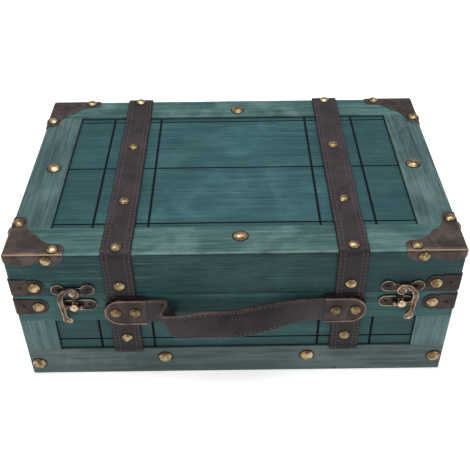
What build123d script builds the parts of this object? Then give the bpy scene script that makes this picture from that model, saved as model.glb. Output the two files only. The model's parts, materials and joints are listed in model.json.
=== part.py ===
from build123d import *

import os
from math import asin, atan2, cos, degrees, pi, radians, sin, tan

# A wooden treasure chest box: hinged lid, leather straps, dome nails, pressed
# corner plates, two swing-hook latches and a leather carrying handle.
# Millimetres. X runs to the right, Y from the front to the rear, Z up.
# The origin is the middle of the underside.

# Overall box
width = 380
depth = 248
height = 147
lid_height = 46.6
seam_gap = 0.4
wall = 10
floor_thickness = 8
vertical_round = 1.5
top_round = 2.5
foot_round = 1
overrun = 5

# Raised rails and stiles round the grooved panels
panel_recess = 1.6
frame_width = 34
frame_thickness = 10
tongue_length = 4
tongue_thickness = 3
upper_rail_share = 0.2988
lower_rail_share = 0.3287
stile = 31
groove_width = 1.2
groove_depth = 0.8
groove_offset = 11
top_groove_inset = 7
front_groove_share = 0.321

# Leather straps over the box
strap_width = 25.5
strap_thickness = 2.5
latch_room = 73
strap_share = 0.8316
strap_ramp = 4
strap_lap = 2

# Dome nails
shank_radius = 0.8
shank_length = 9
hole_clearance = 0.05
rail_nail_radius = 6.4
rail_nail_height = 3.2
bracket_nail_radius = 5.3
bracket_nail_height = 2.7
strap_nail_radius = 4.9
strap_nail_height = 2.6
brad_radius = 1.3
brad_height = 0.7
brad_shank = 5
top_nail_shares = (0.021, 0.282, 0.633, 0.975)
lid_strap_nail = 12.6
base_strap_nail_share = 0.333
frame_nail_inset = 21
frame_nail_shift = 4.8
foot_nail_inset = 8
foot_nail_share = 0.545
left_nail_drop = 3.7
inner_nail_along_share = 0.668
inner_nail_share = 0.636

# Pressed metal
metal = 1
cap_arm = 49.5
cap_lobe = 12.2
cap_cusp = 24.7
cap_skirt = 11
cap_skirt_neck = 6.8
cap_skirt_end = 3.5
cap_nail_along = 40.5
cap_nail_in = 5.6
cap_skirt_nail_along = 35
cap_skirt_nail_drop = 5.8
bracket_height = 18
bracket_band = 15.5
bracket_lobe_radius = 8.6
bracket_lobe_along = 20.4
bracket_brad_along = 8
lid_bracket_offset = 10.6
base_bracket_offset = 11.9

# Leather carrying handle, held by two raised plates
handle_drop = 14.9
handle_width = 24.5
handle_end_thickness = 3.4
handle_grip_thickness = 4.6
handle_play = 0.4
plate_shift = 2.8
plate_length = 36
plate_width = 28.5
plate_rim = 1.6
plate_rim_height = 0.5
plate_play = 0.1
plate_nail_offset = 8.3
plate_nail_shank = 14
fold_gap = 18.5
fold_radius = 2.6
fold_run = 6
fold_turn = radians(135)
fold_lean = radians(20)
fold_steps = 9
grip_right_gap = 19.5
grip_right_out = 7
grip_right_rise = 1.2
grip_bulge = 2.5
grip_sag = 2.8
grip_tilt = 25
grip_steps = 14
grip_lift_steps = 6

# Swing-hook latches
latch_left_inset = 52.5
latch_right_inset = 48.2
latch_metal = 1.2
latch_rim = 0.9
latch_rim_height = 0.45
pivot_above_seam = 5.6
pivot_radius = 1.5
pivot_depth = 7
running_clearance = 0.05
latch_plate_lobe = 6
latch_plate_reach = 12.6
latch_plate_rise = 2.5
latch_plate_waist = 4.7
pin_radius = 0.8
pin_length = 5
pin_head_radius = 1.7
pin_head_height = 0.45
post_drop = 13.6
post_radius = 1.3
post_foot_radius = 2.6
knob_radius = 3.6
knob_height = 4.4
knob_clearance = 0.4
knob_waist_share = 0.7
knob_top_share = 0.75
catch_lobe = 6.2
catch_reach = 12.6
catch_tail = 5
catch_lift = 1.4
hook_back = 2
hook_thickness = 2.6
hook_ring = 5.2
hook_arm_radius = 13.8
hook_arm_width = 5.2
hook_arm_angle = 200
hook_spur_height = 3.4
hook_spur_gap = 0.3
hook_spur_reach = 4
hook_tail_run = 13.3
hook_tip_radius = 4
hook_tail_lift = 2.4
hook_slope_start = 19.5
hook_slope_end = 26.5
hook_slope_turn = 25
hook_tip_thickness = 3.2
rivet_head_radius = 3.3
rivet_head_height = 1.7

# Rear butt hinges
hinge_inset = 50
hinge_length = 30
hinge_leaf = 17
hinge_metal = 1.2
knuckle_radius = 2.6
knuckle_standoff = 0.1
knuckle_gap = 0.2
knuckle_relief = 0.35
hinge_pin_radius = 1.2
hinge_pin_head = 1.9
hinge_pin_head_height = 1
hinge_screw_radius = 1.1
hinge_screw_head = 2.3
hinge_screw_head_height = 0.9
hinge_screw_length = 7
hinge_screw_along = 9.5
hinge_screw_up = 11

# Worked-out sizes
half_width = width / 2
half_depth = depth / 2
seam_height = height - lid_height
lid_bottom = seam_height + seam_gap
upper_rail = seam_height * upper_rail_share
lower_rail = seam_height * lower_rail_share
front_groove_height = lower_rail + (seam_height - upper_rail - lower_rail) * front_groove_share
strap_centre = (half_width - latch_room) * strap_share
foot_nail_height = lower_rail * foot_nail_share
inner_nail_height = lower_rail * inner_nail_share
inner_nail_offset = strap_centre * inner_nail_along_share
latch_left = half_width - latch_left_inset
latch_right = half_width - latch_right_inset
hinge_offset = half_width - hinge_inset
handle_height = seam_height - handle_drop
plate_centre = strap_centre - plate_shift
frame_under = height - frame_thickness
pivot_height = seam_height + pivot_above_seam
hinge_height = seam_height + seam_gap / 2
hinge_out = knuckle_radius + knuckle_standoff
plate_height = strap_thickness + handle_end_thickness + plate_play + metal
plate_outer = plate_centre + plate_length / 2
plate_inner = plate_centre - plate_length / 2
plate_foot = handle_height - plate_width / 2
strap_landing = lower_rail + strap_ramp
base_strap_nail = strap_landing + (plate_foot - strap_landing) * base_strap_nail_share
fold_start = plate_inner - fold_gap
fold_shoulder = handle_width * tan(fold_lean)
grip_right = plate_inner - grip_right_gap
end_out = strap_thickness + handle_end_thickness / 2
base_strap_end = lower_rail - strap_lap
groove_columns = [strap_centre + sign * (strap_width / 2 + groove_offset) for sign in (-1, 1)]


# Plain helpers

def block(x, y, z):
    """A block between two corners, given as (low, high) pairs."""
    sizes = [high - low for low, high in (x, y, z)]
    middles = [(high + low) / 2 for low, high in (x, y, z)]
    return Pos(*middles) * Box(*sizes)


def rounded_block(x, y, z, vertical, upper=0, lower=0):
    """A block with its upright edges rounded, and its upper or lower edges where asked."""
    body = block(x, y, z)
    body = fillet(body.edges().filter_by(Axis.Z), vertical)
    if upper:
        body = fillet(body.edges().group_by(Axis.Z)[-1], upper)
    if lower:
        body = fillet(body.edges().group_by(Axis.Z)[0], lower)
    return body


def on(side, along=0, up=0, out=0):
    """The location on a face of the box, with local X along the face, Y up and Z outward."""
    if side == "top":
        return Plane(origin=(along, up, height + out), x_dir=(1, 0, 0), z_dir=(0, 0, 1)).location
    outward, sideways, reach = {
        "front": ((0, -1, 0), (1, 0, 0), half_depth),
        "rear": ((0, 1, 0), (-1, 0, 0), half_depth),
        "left": ((-1, 0, 0), (0, -1, 0), half_width),
        "right": ((1, 0, 0), (0, 1, 0), half_width),
    }[side]
    origin = [o * (reach + out) + s * along for o, s in zip(outward, sideways)]
    return Plane(origin=(origin[0], origin[1], up), x_dir=sideways, z_dir=outward).location


def prism(outline, low, high):
    """An outline drawn in the local XY plane, from one height to another."""
    return Pos(0, 0, low) * extrude(outline, high - low, dir=(0, 0, 1))


def stadium(left, right, radius):
    """Two discs joined by a bar, lying along local X."""
    outline = Pos(left, 0) * Circle(radius) + Pos(right, 0) * Circle(radius)
    return outline + Pos((left + right) / 2, 0) * Rectangle(right - left, 2 * radius)


def four_corners(piece):
    """The piece at the front left corner and its mirror images at the other three."""
    left = [piece, mirror(piece, Plane.XZ)]
    return left + [mirror(one, Plane.YZ) for one in left]


def both_sides(piece):
    return [piece, mirror(piece, Plane.YZ)]


def dome_arc(radius, seat, rise):
    """Half the outline of a spherical cap on the axis, from its rim to its crown."""
    ball = (radius ** 2 + rise ** 2) / (2 * rise)
    half_angle = asin(radius / ball) / 2
    middle = (ball * sin(half_angle), seat + rise - ball * (1 - cos(half_angle)))
    return ThreePointArc((radius, seat), middle, (0, seat + rise))


def dome_nail(head_radius, head_height, length=shank_length, radius=shank_radius):
    """A nail with a low dome head. Its seat is the local XY plane and its shank points down."""
    outline = Polyline((0, head_height), (0, -length), (radius, -length), (radius, 0), (head_radius, 0))
    outline += dome_arc(head_radius, 0, head_height)
    return revolve(Plane.XZ * make_face(outline), Axis.Z)


def shank_hole(length=shank_length, radius=shank_radius):
    """The hole for a nail's shank, through all that lies above it too."""
    hole = Cylinder(radius + hole_clearance, length + overrun)
    return Pos(0, 0, (overrun - length) / 2) * hole


def drill(piece, seats, length=shank_length, radius=shank_radius):
    """Cut a shank's hole at each seat."""
    for seat in seats:
        piece -= seat * shank_hole(length, radius)
    return piece


# Where the nails and pins sit

def mirrored(side, along, up, out):
    return [on(side, sign * along, up, out) for sign in (-1, 1)]


def top_surface(from_front):
    """Height of the strap's upper face above the frame, at a distance from the front face."""
    over_panel = frame_width < from_front < depth - frame_width
    return strap_thickness - panel_recess if over_panel else strap_thickness


def lid_strap_seats():
    seats = []
    for from_front in [depth * share for share in top_nail_shares]:
        seats += mirrored("top", strap_centre, from_front - half_depth, top_surface(from_front))
    for side in ("front", "rear"):
        seats += mirrored(side, strap_centre, seam_height + lid_strap_nail, strap_thickness)
    return seats


def base_strap_seats():
    seats = []
    for side in ("front", "rear"):
        seats += mirrored(side, strap_centre, base_strap_nail, strap_thickness - panel_recess)
    return seats


def frame_seats():
    rails = [on("top", frame_nail_shift, sign * (half_depth - frame_nail_inset)) for sign in (-1, 1)]
    stiles = [on("top", sign * (half_width - frame_nail_inset), 0) for sign in (-1, 1)]
    return rails + stiles


def rail_seats():
    corner = half_width - foot_nail_inset
    outer = [on("front", -corner, foot_nail_height - left_nail_drop), on("front", corner, foot_nail_height)]
    return outer + mirrored("front", inner_nail_offset, inner_nail_height, 0)


def cap_seats(x_sign, y_sign):
    """Two nails on top of a corner plate, and one through each of its flanges."""
    along_x = half_width - cap_nail_along
    along_y = half_depth - cap_nail_along
    seats = [on("top", x_sign * along_x, y_sign * (half_depth - cap_nail_in), metal),
             on("top", x_sign * (half_width - cap_nail_in), y_sign * along_y, metal)]
    seats.append(edge_seat("y", x_sign, y_sign, cap_skirt_nail_along, height - cap_skirt_nail_drop))
    seats.append(edge_seat("x", x_sign, y_sign, cap_skirt_nail_along, height - cap_skirt_nail_drop))
    return seats


def edge_seat(face, x_sign, y_sign, from_corner, up):
    """A seat on the metal near a corner, on the face that looks along the named axis."""
    if face == "y":
        side = "front" if y_sign < 0 else "rear"
        along = x_sign * (half_width - from_corner)
        return on(side, along if y_sign < 0 else -along, up, metal)
    side = "left" if x_sign < 0 else "right"
    along = y_sign * (half_depth - from_corner)
    return on(side, along if x_sign > 0 else -along, up, metal)


def bracket_seats(up, from_corner):
    return [edge_seat(face, x_sign, y_sign, from_corner, up)
            for x_sign in (-1, 1) for y_sign in (-1, 1) for face in ("x", "y")]


lid_bracket_height = seam_height + lid_bracket_offset
base_bracket_height = seam_height - base_bracket_offset
all_cap_seats = [seat for x_sign in (-1, 1) for y_sign in (-1, 1) for seat in cap_seats(x_sign, y_sign)]
handle_plate_seats = [on("front", sign * (plate_centre + step), handle_height, plate_height)
                      for sign in (-1, 1) for step in (-plate_nail_offset, plate_nail_offset)]
latch_places = {"left": on("front", -latch_left, pivot_height),
                "right": on("front", latch_right, pivot_height)}
latch_plate_pins = [(-latch_plate_reach, latch_plate_rise), (latch_plate_reach, latch_plate_rise)]
catch_pins = [(catch_reach, catch_lift)]


# Box envelopes, which round the corners of every wooden piece that reaches them

base_envelope = rounded_block((-half_width, half_width), (-half_depth, half_depth), (0, seam_height),
                              vertical_round, lower=foot_round)
lid_envelope = rounded_block((-half_width, half_width), (-half_depth, half_depth), (lid_bottom, height),
                             vertical_round, upper=top_round)


def grooved(panel, faces):
    """Cut lengthwise and crosswise grooves, each given as a block."""
    for groove in faces:
        panel -= groove
    return panel


# Base

def panel_grooves(side, length, low, high):
    """Grooves in one recessed side panel: one lengthwise, and two beside each strap."""
    depth_in = groove_depth + panel_recess
    cuts = [on(side, 0, front_groove_height, -depth_in / 2) * Box(length, groove_width, depth_in)]
    if side in ("front", "rear"):
        for column in groove_columns:
            for sign in (-1, 1):
                place = on(side, sign * column, (low + high) / 2, -depth_in / 2)
                cuts.append(place * Box(groove_width, high - low, depth_in))
    return cuts


def base_board(side):
    """A side board, with its outer face at the bottom of the panel's recess."""
    span_x = half_width - panel_recess
    span_y = half_depth - panel_recess
    sign = -1 if side in ("front", "left") else 1
    if side in ("front", "rear"):
        faces = sorted((sign * span_y, sign * (half_depth - wall)))
        board = block((-span_x, span_x), faces, (0, seam_height))
        length = width - 2 * stile
    else:
        faces = sorted((sign * span_x, sign * (half_width - wall)))
        board = block(faces, (wall - half_depth, half_depth - wall), (0, seam_height))
        length = depth - 2 * stile
    board = grooved(board, panel_grooves(side, length, lower_rail, seam_height - upper_rail))
    return board & base_envelope


def base_floor():
    inside_x = half_width - wall
    inside_y = half_depth - wall
    return block((-inside_x, inside_x), (-inside_y, inside_y), (0, floor_thickness))


def ring_of_rails(low, high):
    """Four battens round the base: long ones at front and rear, short ones between them."""
    outer_y = half_depth - panel_recess
    outer_x = half_width - panel_recess
    rails = []
    for sign in (-1, 1):
        over_y = sorted((sign * outer_y, sign * half_depth))
        over_x = sorted((sign * outer_x, sign * half_width))
        rails.append(block((-half_width, half_width), over_y, (low, high)))
        rails.append(block(over_x, (-outer_y, outer_y), (low, high)))
    return [rail & base_envelope for rail in rails]


def base_stile_set():
    """Upright battens between the rails, one at each end of each face."""
    low, high = lower_rail, seam_height - upper_rail
    outer_y = half_depth - panel_recess
    outer_x = half_width - panel_recess
    on_front = block((-half_width, stile - half_width), (-half_depth, -outer_y), (low, high)) & base_envelope
    on_side = block((-half_width, -outer_x), (-outer_y, stile - half_depth), (low, high)) & base_envelope
    return four_corners(on_front) + four_corners(on_side)


# Lid

def lid_board(side):
    """A lid board below the top frame."""
    sign = -1 if side in ("front", "left") else 1
    span = (lid_bottom, frame_under)
    if side in ("front", "rear"):
        faces = sorted((sign * half_depth, sign * (half_depth - wall)))
        board = block((-half_width, half_width), faces, span)
    else:
        faces = sorted((sign * half_width, sign * (half_width - wall)))
        board = block(faces, (wall - half_depth, half_depth - wall), span)
    return board & lid_envelope


def frame_opening(grow=0):
    """The space inside the lid's frame."""
    inside_x = half_width - frame_width + grow
    inside_y = half_depth - frame_width + grow
    return (-inside_x, inside_x), (-inside_y, inside_y)


def tongue():
    """The lip round the top panel that fits the groove in the frame."""
    low = frame_under + (frame_thickness - panel_recess - tongue_thickness) / 2
    return block(*frame_opening(tongue_length), (low, low + tongue_thickness))


def lid_panel():
    panel = block(*frame_opening(), (frame_under, height - panel_recess)) + tongue()
    inside_x = half_width - frame_width
    inside_y = half_depth - frame_width
    deep = groove_depth + panel_recess
    for row in (top_groove_inset - inside_y, 0, inside_y - top_groove_inset):
        panel -= on("top", 0, row, -deep / 2) * Box(2 * inside_x, groove_width, deep)
    for column in groove_columns:
        for sign in (-1, 1):
            panel -= on("top", sign * column, 0, -deep / 2) * Box(groove_width, 2 * inside_y, deep)
    return panel


def lid_rail(sign):
    inner = half_depth - frame_width
    rail = block((-half_width, half_width), sorted((sign * inner, sign * half_depth)), (frame_under, height))
    return (rail & lid_envelope) - tongue()


def lid_stile(sign):
    inner = half_width - frame_width
    reach = half_depth - frame_width
    rail = block(sorted((sign * inner, sign * half_width)), (-reach, reach), (frame_under, height))
    return (rail & lid_envelope) - tongue()


# Leather straps

def strap_half(surface, thick):
    """Outer line of the lid strap over the front half, from the seam to the middle of the top."""
    edge = top_round + (strap_thickness if thick else 0)
    lift = strap_thickness if thick else 0
    front = -half_depth - lift
    over = height + lift
    sunk = over - panel_recess
    inner = frame_width - half_depth
    line = Line((front, lid_bottom), (front, over - edge))
    line += RadiusArc((front, over - edge), (front + edge, over), edge)
    line += Polyline((front + edge, over), (inner - surface, over),
                     (inner - surface + strap_ramp, sunk), (0, sunk))
    return line


def lid_strap():
    """One long strap down the rear, over the top and down the front of the lid."""
    shift = strap_thickness / 2
    inside = strap_half(-shift, False)
    outside = strap_half(shift, True)
    ends = Line(inside @ 0, outside @ 0) + Line(inside @ 1, outside @ 1)
    profile = make_face(Curve() + [inside, outside, ends])
    face = Plane.YZ * profile
    half = extrude(face, strap_width / 2, both=True)
    return half + mirror(half, Plane.XZ)


def base_strap():
    """One strap on the front of the base, dipping over the recessed panel."""
    top = seam_height
    rail_edge = seam_height - upper_rail
    face = [(0, top), (0, rail_edge), (-panel_recess, rail_edge - strap_ramp),
            (-panel_recess, lower_rail + strap_ramp), (0, lower_rail), (0, base_strap_end)]
    outer = [(out + strap_thickness, up) for out, up in reversed(face)]
    points = [(-half_depth - out, up) for out, up in face + outer]
    profile = make_face(Polyline(*points, close=True))
    return extrude(Plane.YZ * profile, strap_width / 2, both=True)


# Pressed corner plates and brackets

def shell(low, high, upper_metal):
    """A skin of metal over the rounded box between two heights."""
    def layer(grow):
        across = (-half_width - grow, half_width + grow)
        along = (-half_depth - grow, half_depth + grow)
        up = (low, high + (grow if upper_metal else 0))
        return rounded_block(across, along, up, vertical_round + grow, top_round + grow if upper_metal else 0)

    return layer(metal) - layer(0)


cap_end_share = 0.35
cap_tip_shares = (0.975, 0.85)
cap_shoulder_share = 0.87
cap_hollow_shares = (0.62, 1.36)
skirt_lobe_share = 0.79
skirt_neck_share = 0.57
skirt_corner_share = 0.25


def cap_top_outline():
    """The wavy top of a corner plate, as distances in from the corner along X and Y."""
    arm, lobe = cap_arm, cap_lobe
    end = (arm, lobe * cap_end_share)
    tip = (arm * cap_tip_shares[0], lobe * cap_tip_shares[1])
    shoulder = (arm * cap_shoulder_share, lobe)
    hollow = (arm * cap_hollow_shares[0], lobe * cap_hollow_shares[1])
    cusp = (cap_cusp, cap_cusp)
    flip = [(y, x) for x, y in (end, tip, shoulder, hollow)]
    edge = Polyline((-metal, arm), (-metal, -metal), (arm, -metal), end)
    edge += ThreePointArc(end, tip, shoulder)
    edge += ThreePointArc(shoulder, hollow, cusp)
    edge += ThreePointArc(cusp, flip[3], flip[2])
    edge += ThreePointArc(flip[2], flip[1], flip[0])
    edge += Line(flip[0], (-metal, arm))
    return make_face(edge)


def cap_skirt_outline():
    """A wavy flange, as distances from the corner along the box and down from its top."""
    neck = (cap_arm * skirt_neck_share, -cap_skirt_neck)
    edge = Polyline((-metal, -cap_skirt_neck), (-metal, 0), (cap_arm, 0), (cap_arm, -cap_skirt_end))
    edge += ThreePointArc((cap_arm, -cap_skirt_end), (cap_arm * skirt_lobe_share, -cap_skirt), neck)
    edge += ThreePointArc(neck, (cap_arm * skirt_corner_share, -cap_skirt), (-metal, -cap_skirt_neck))
    return make_face(edge)


def corner_region(outline, low, high):
    """A flat outline stood on the front face at its left corner, and its twin on the left face."""
    front = on("front", -half_width, 0) * prism(outline, low, high)
    turned = mirror(prism(outline, low, high), Plane.YZ)
    side = on("left", half_depth, 0) * turned
    return front, side


def corner_cap():
    """A corner plate for the front left corner of the lid: a wavy top and two wavy flanges."""
    skin = shell(frame_under - cap_skirt, height, metal)
    plan = Pos(-half_width, -half_depth, 0) * prism(cap_top_outline(), height - top_round, height + metal)
    front, side = corner_region(cap_skirt_outline(), -top_round, metal)
    cap = skin & plan
    for skirt in (front, side):
        cap += skin & (Pos(0, 0, height) * skirt)
    return cap


def corner_bracket(middle):
    """A strap of metal bent round an upright corner, with a rounded end on each face."""
    band = Pos((bracket_band - metal) / 2, 0) * Rectangle(bracket_band + metal, bracket_height)
    outline = band + Pos(bracket_lobe_along, 0) * Circle(bracket_lobe_radius)
    skin = shell(middle - bracket_height, middle + bracket_height, 0)
    front, side = corner_region(outline, -vertical_round, metal)
    up = Pos(0, 0, middle)
    return (skin & (up * front)) + (skin & (up * side))


# Handle

def handle_plate():
    """The right plate: a raised, rimmed D, open towards the grip, with a gap for the strap below."""
    radius = plate_width / 2
    centre = plate_outer - radius
    pocket_radius = radius - metal
    body = prism(stadium(plate_inner, centre, radius) & half_plane(plate_inner), 0, plate_height)
    inside = stadium(plate_inner - overrun, centre, pocket_radius)
    body -= prism(inside, -overrun, plate_height - metal)
    field = stadium(plate_inner - overrun, centre, radius - plate_rim)
    body -= prism(field, plate_height - plate_rim_height, plate_height + overrun)
    gap = strap_width + 2 * plate_play
    body -= Pos(strap_centre, 0, 0) * Box(gap, 2 * plate_width, 2 * (strap_thickness + plate_play))
    return on("front", 0, handle_height) * body


def half_plane(start):
    """A large sheet to the right of a line, for cutting an outline square."""
    return Pos(start + plate_length, 0) * Rectangle(2 * plate_length, 2 * plate_width)


def handle_tongue(sign, inner):
    """The flat, round-ended part of the band inside a plate, out to a distance from the middle."""
    centre = plate_outer - plate_width / 2
    radius = handle_width / 2
    flat = stadium(inner, centre, radius) & half_plane(inner)
    piece = prism(flat, strap_thickness, strap_thickness + handle_end_thickness)
    if sign < 0:
        piece = mirror(piece, Plane.YZ)
    return on("front", 0, handle_height) * piece


def band_section(place, heading, thickness, tilt=0, rise=0, lean=0):
    """A slice across the band. The place is (along, out, drop), the heading is in plan and
    a slice that leans runs along an oblique crease."""
    along, out, drop = place
    tangent = Vector(cos(heading) * cos(lean), -sin(heading), rise + cos(heading) * sin(lean)).normalized()
    stem = Vector(-sin(lean), 0, cos(lean))
    upright = (stem - tangent * stem.dot(tangent)).normalized()
    upright = upright.rotate(Axis((0, 0, 0), tuple(tangent)), -tilt)
    origin = (along, -half_depth - out, handle_height - drop)
    plane = Plane(origin=origin, x_dir=upright.cross(tangent), z_dir=tangent)
    return plane * Rectangle(thickness, handle_width / cos(lean))


def fold_stations():
    """The middle line of the left end: along the face, back on itself and out again to the
    grip, over two oblique creases. Each station is a place and a heading."""
    x, out, drop, heading = -fold_start, end_out, 0, 0
    stations = [((x, out, drop), heading)]
    step = fold_turn / fold_steps
    for turn in [1] * fold_steps + [0] + [-1] * fold_steps:
        run = fold_run if turn == 0 else fold_radius * step
        heading += turn * step / 2
        x += run * (cos(heading) * cos(fold_lean) + sin(fold_lean) * tan(fold_lean))
        out += run * sin(heading)
        drop += run * sin(fold_lean) * (1 - cos(heading))
        heading += turn * step / 2
        stations.append(((x, out, drop), heading))
    return stations


fold_path = fold_stations()
fold_end = fold_path[-1][0]
axis_left = (fold_end[0] + fold_shoulder, fold_end[1], fold_end[2])
axis_right = (grip_right, grip_right_out, -grip_right_rise)
grip_length = axis_right[0] - axis_left[0]
axis_heading = atan2(axis_right[1] - axis_left[1], grip_length)
axis_rise = (axis_left[2] - axis_right[2]) / grip_length * cos(axis_heading)


def on_axis(share):
    """A point of the line that the grip turns about."""
    return [low + (high - low) * share for low, high in zip(axis_left, axis_right)]


def handle_end_left():
    """Flat out of its plate, then folded, then square again where the grip begins."""
    square_at = fold_start + fold_shoulder
    sections = [band_section((-square_at, end_out, 0), 0, handle_end_thickness)]
    for place, heading in fold_path:
        sections.append(band_section(place, heading, handle_end_thickness, lean=fold_lean))
    joint = on_axis(-handle_play / grip_length)
    sections.append(band_section(joint, axis_heading, handle_end_thickness, rise=axis_rise))
    return handle_tongue(-1, square_at) + loft(sections, ruled=True)


def handle_end_right():
    """The right end eases from the grip's line into its plate."""
    sections = []
    start = on_axis(1 + handle_play / grip_length)
    for count in range(grip_lift_steps + 1):
        share = count / grip_lift_steps
        ease = 3 * share ** 2 - 2 * share ** 3
        x = start[0] + (plate_inner - start[0]) * share
        out = start[1] + (end_out - start[1]) * ease
        slope = (end_out - start[1]) * 6 * share * (1 - share) / (plate_inner - start[0])
        heading = axis_heading * (1 - ease) + atan2(slope, 1)
        place = (x, out, start[2] * (1 - ease))
        sections.append(band_section(place, heading, handle_end_thickness, rise=axis_rise * (1 - ease)))
    return handle_tongue(1, plate_inner) + loft(sections, ruled=True)


def handle_grip():
    """The free part of the band: it bulges out and sags a little between its ends."""
    sections = []
    for count in range(grip_steps + 1):
        share = count / grip_steps
        swell = sin(pi * share) ** 2
        slope = pi * sin(2 * pi * share) / grip_length
        x, out, drop = on_axis(share)
        place = (x, out + grip_bulge * swell, drop + grip_sag * swell)
        heading = axis_heading + atan2(grip_bulge * slope, 1)
        thickness = handle_end_thickness + (handle_grip_thickness - handle_end_thickness) * swell
        rise = axis_rise - grip_sag * slope
        sections.append(band_section(place, heading, thickness, grip_tilt * sin(pi * share), rise))
    return loft(sections, ruled=True)


# Latches, drawn for the left one about its pivot and mirrored for the right one

def rimmed_plate(outline):
    """A flat plate with a low raised edge all round."""
    plate = prism(outline, 0, latch_metal)
    rim = prism(outline, latch_metal, latch_metal + latch_rim_height)
    return plate + (rim - prism(offset(outline, -latch_rim), 0, 2 * latch_metal))


def latch_plate():
    """The pivot plate on the lid: two lobes and a lower bridge."""
    bridge_low = latch_plate_rise - latch_plate_lobe
    outline = Pos(0, (latch_plate_waist + bridge_low) / 2) * Rectangle(
        2 * latch_plate_reach, latch_plate_waist - bridge_low)
    for x, y in latch_plate_pins:
        outline += Pos(x, y) * Circle(latch_plate_lobe)
    plate = rimmed_plate(outline)
    plate -= Pos(0, 0, latch_metal / 2) * Cylinder(pivot_radius + hole_clearance, 2 * latch_metal)
    return drill(plate, [Pos(x, y, latch_metal) for x, y in latch_plate_pins], pin_length, pin_radius)


def latch_rivet():
    """The pivot: a shank in the board, a collar that spaces the hook, and a domed head."""
    collar_top = hook_back - running_clearance
    head_seat = hook_back + hook_thickness + running_clearance
    outline = Polyline((0, head_seat + rivet_head_height), (0, -pivot_depth), (pivot_radius, -pivot_depth),
                       (pivot_radius, latch_metal), (hook_ring / 2, latch_metal), (hook_ring / 2, collar_top),
                       (pivot_radius, collar_top), (pivot_radius, head_seat), (rivet_head_radius, head_seat))
    outline += dome_arc(rivet_head_radius, head_seat, rivet_head_height)
    return revolve(Plane.XZ * make_face(outline), Axis.Z)


def latch_catch():
    """The catch plate on the base, with the post that the hook's spur passes under."""
    outline = Pos((catch_reach - catch_tail) / 2, 0) * Rectangle(catch_reach + catch_tail, 2 * catch_lobe)
    outline += Pos(catch_reach, 0) * Circle(catch_lobe) + Pos(-catch_tail, 0) * Circle(catch_lobe)
    plate = Pos(0, -post_drop - catch_lift, 0) * rimmed_plate(outline)
    seats = [Pos(x, -post_drop - lift, latch_metal) for x, lift in catch_pins]
    plate = drill(plate, seats, pin_length, pin_radius)
    knob_seat = hook_back + hook_thickness + knob_clearance
    knob_waist = knob_radius * knob_waist_share
    knob_top = knob_seat + knob_height * knob_top_share
    outline = Polyline((0, 0), (post_foot_radius, 0), (post_foot_radius, (latch_metal + hook_back) / 2),
                       (post_radius, hook_back), (post_radius, knob_seat), (knob_waist, knob_seat))
    outline += ThreePointArc((knob_waist, knob_seat), (knob_radius, (knob_seat + knob_top) / 2),
                             (knob_waist, knob_top))
    outline += Polyline((knob_waist, knob_top), (0, knob_seat + knob_height), (0, 0))
    return plate + Pos(0, -post_drop, 0) * revolve(Plane.XZ * make_face(outline), Axis.Z)


def arc_band(centre, radius, band, start, end):
    """A flat curved bar about a centre, between two angles in degrees."""
    middle = (start + end) / 2

    def at(distance, angle):
        return (centre[0] + distance * cos(radians(angle)), centre[1] + distance * sin(radians(angle)))

    outer, inner = radius + band / 2, radius - band / 2
    edge = ThreePointArc(at(outer, start), at(outer, middle), at(outer, end))
    edge += Line(at(outer, end), at(inner, end))
    edge += ThreePointArc(at(inner, end), at(inner, middle), at(inner, start))
    edge += Line(at(inner, start), at(outer, start))
    return make_face(edge)


def hook_outline():
    """Ring, curled arm, spur and fingertip of the left hook, about its pivot."""
    centre = (0, -hook_arm_radius)
    end_angle = radians(hook_arm_angle)
    arm_end = (hook_arm_radius * cos(end_angle), centre[1] + hook_arm_radius * sin(end_angle))
    along = (-sin(end_angle), cos(end_angle))
    tip = (arm_end[0] + along[0] * hook_tail_run, arm_end[1] + along[1] * hook_tail_run)
    tail = Polyline((arm_end[0] - along[1] * hook_arm_width / 2, arm_end[1] + along[0] * hook_arm_width / 2),
                    (tip[0] - along[1] * hook_tip_radius, tip[1] + along[0] * hook_tip_radius),
                    (tip[0] + along[1] * hook_tip_radius, tip[1] - along[0] * hook_tip_radius),
                    (arm_end[0] + along[1] * hook_arm_width / 2, arm_end[1] - along[0] * hook_arm_width / 2),
                    close=True)
    spur_radius = post_drop + post_radius + hook_spur_gap + hook_spur_height / 2
    spur_end = 270 + degrees(hook_spur_reach / spur_radius)
    spur_root = 270 - degrees((hook_arm_radius - hook_arm_width / 2) / spur_radius)
    outline = Circle(hook_ring) + arc_band(centre, hook_arm_radius, hook_arm_width, 90, hook_arm_angle)
    outline += make_face(tail)
    outline += Pos(*tip) * Circle(hook_tip_radius)
    outline += arc_band((0, 0), spur_radius, hook_spur_height, spur_root, spur_end)
    spur_tip = (spur_radius * cos(radians(spur_end)), spur_radius * sin(radians(spur_end)))
    return outline + Pos(*spur_tip) * Circle(hook_spur_height / 2)


def hook():
    """The left hook: its outline, cut by a side profile, turned so that it lifts the tail alone."""
    far = hook_ring + 2 * hook_arm_radius + hook_tail_run
    lifted = hook_back + hook_tail_lift
    front = hook_back + hook_thickness
    side = Polyline((hook_ring, hook_back), (-hook_slope_start, hook_back), (-hook_slope_end, lifted),
                    (-far, lifted), (-far, lifted + hook_tip_thickness),
                    (-hook_slope_end, lifted + hook_tip_thickness), (-hook_slope_start, front),
                    (hook_ring, front), close=True)
    profile = Rot(0, 0, -hook_slope_turn) * extrude(Plane.YZ * make_face(side), far, both=True)
    body = prism(hook_outline(), hook_back, lifted + hook_tip_thickness) & profile
    return body - Cylinder(pivot_radius + running_clearance, far)


def latch_set(piece):
    """The piece at the left latch, and its mirror image at the right one."""
    return {"left": latch_places["left"] * piece, "right": latch_places["right"] * mirror(piece, Plane.YZ)}


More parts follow.
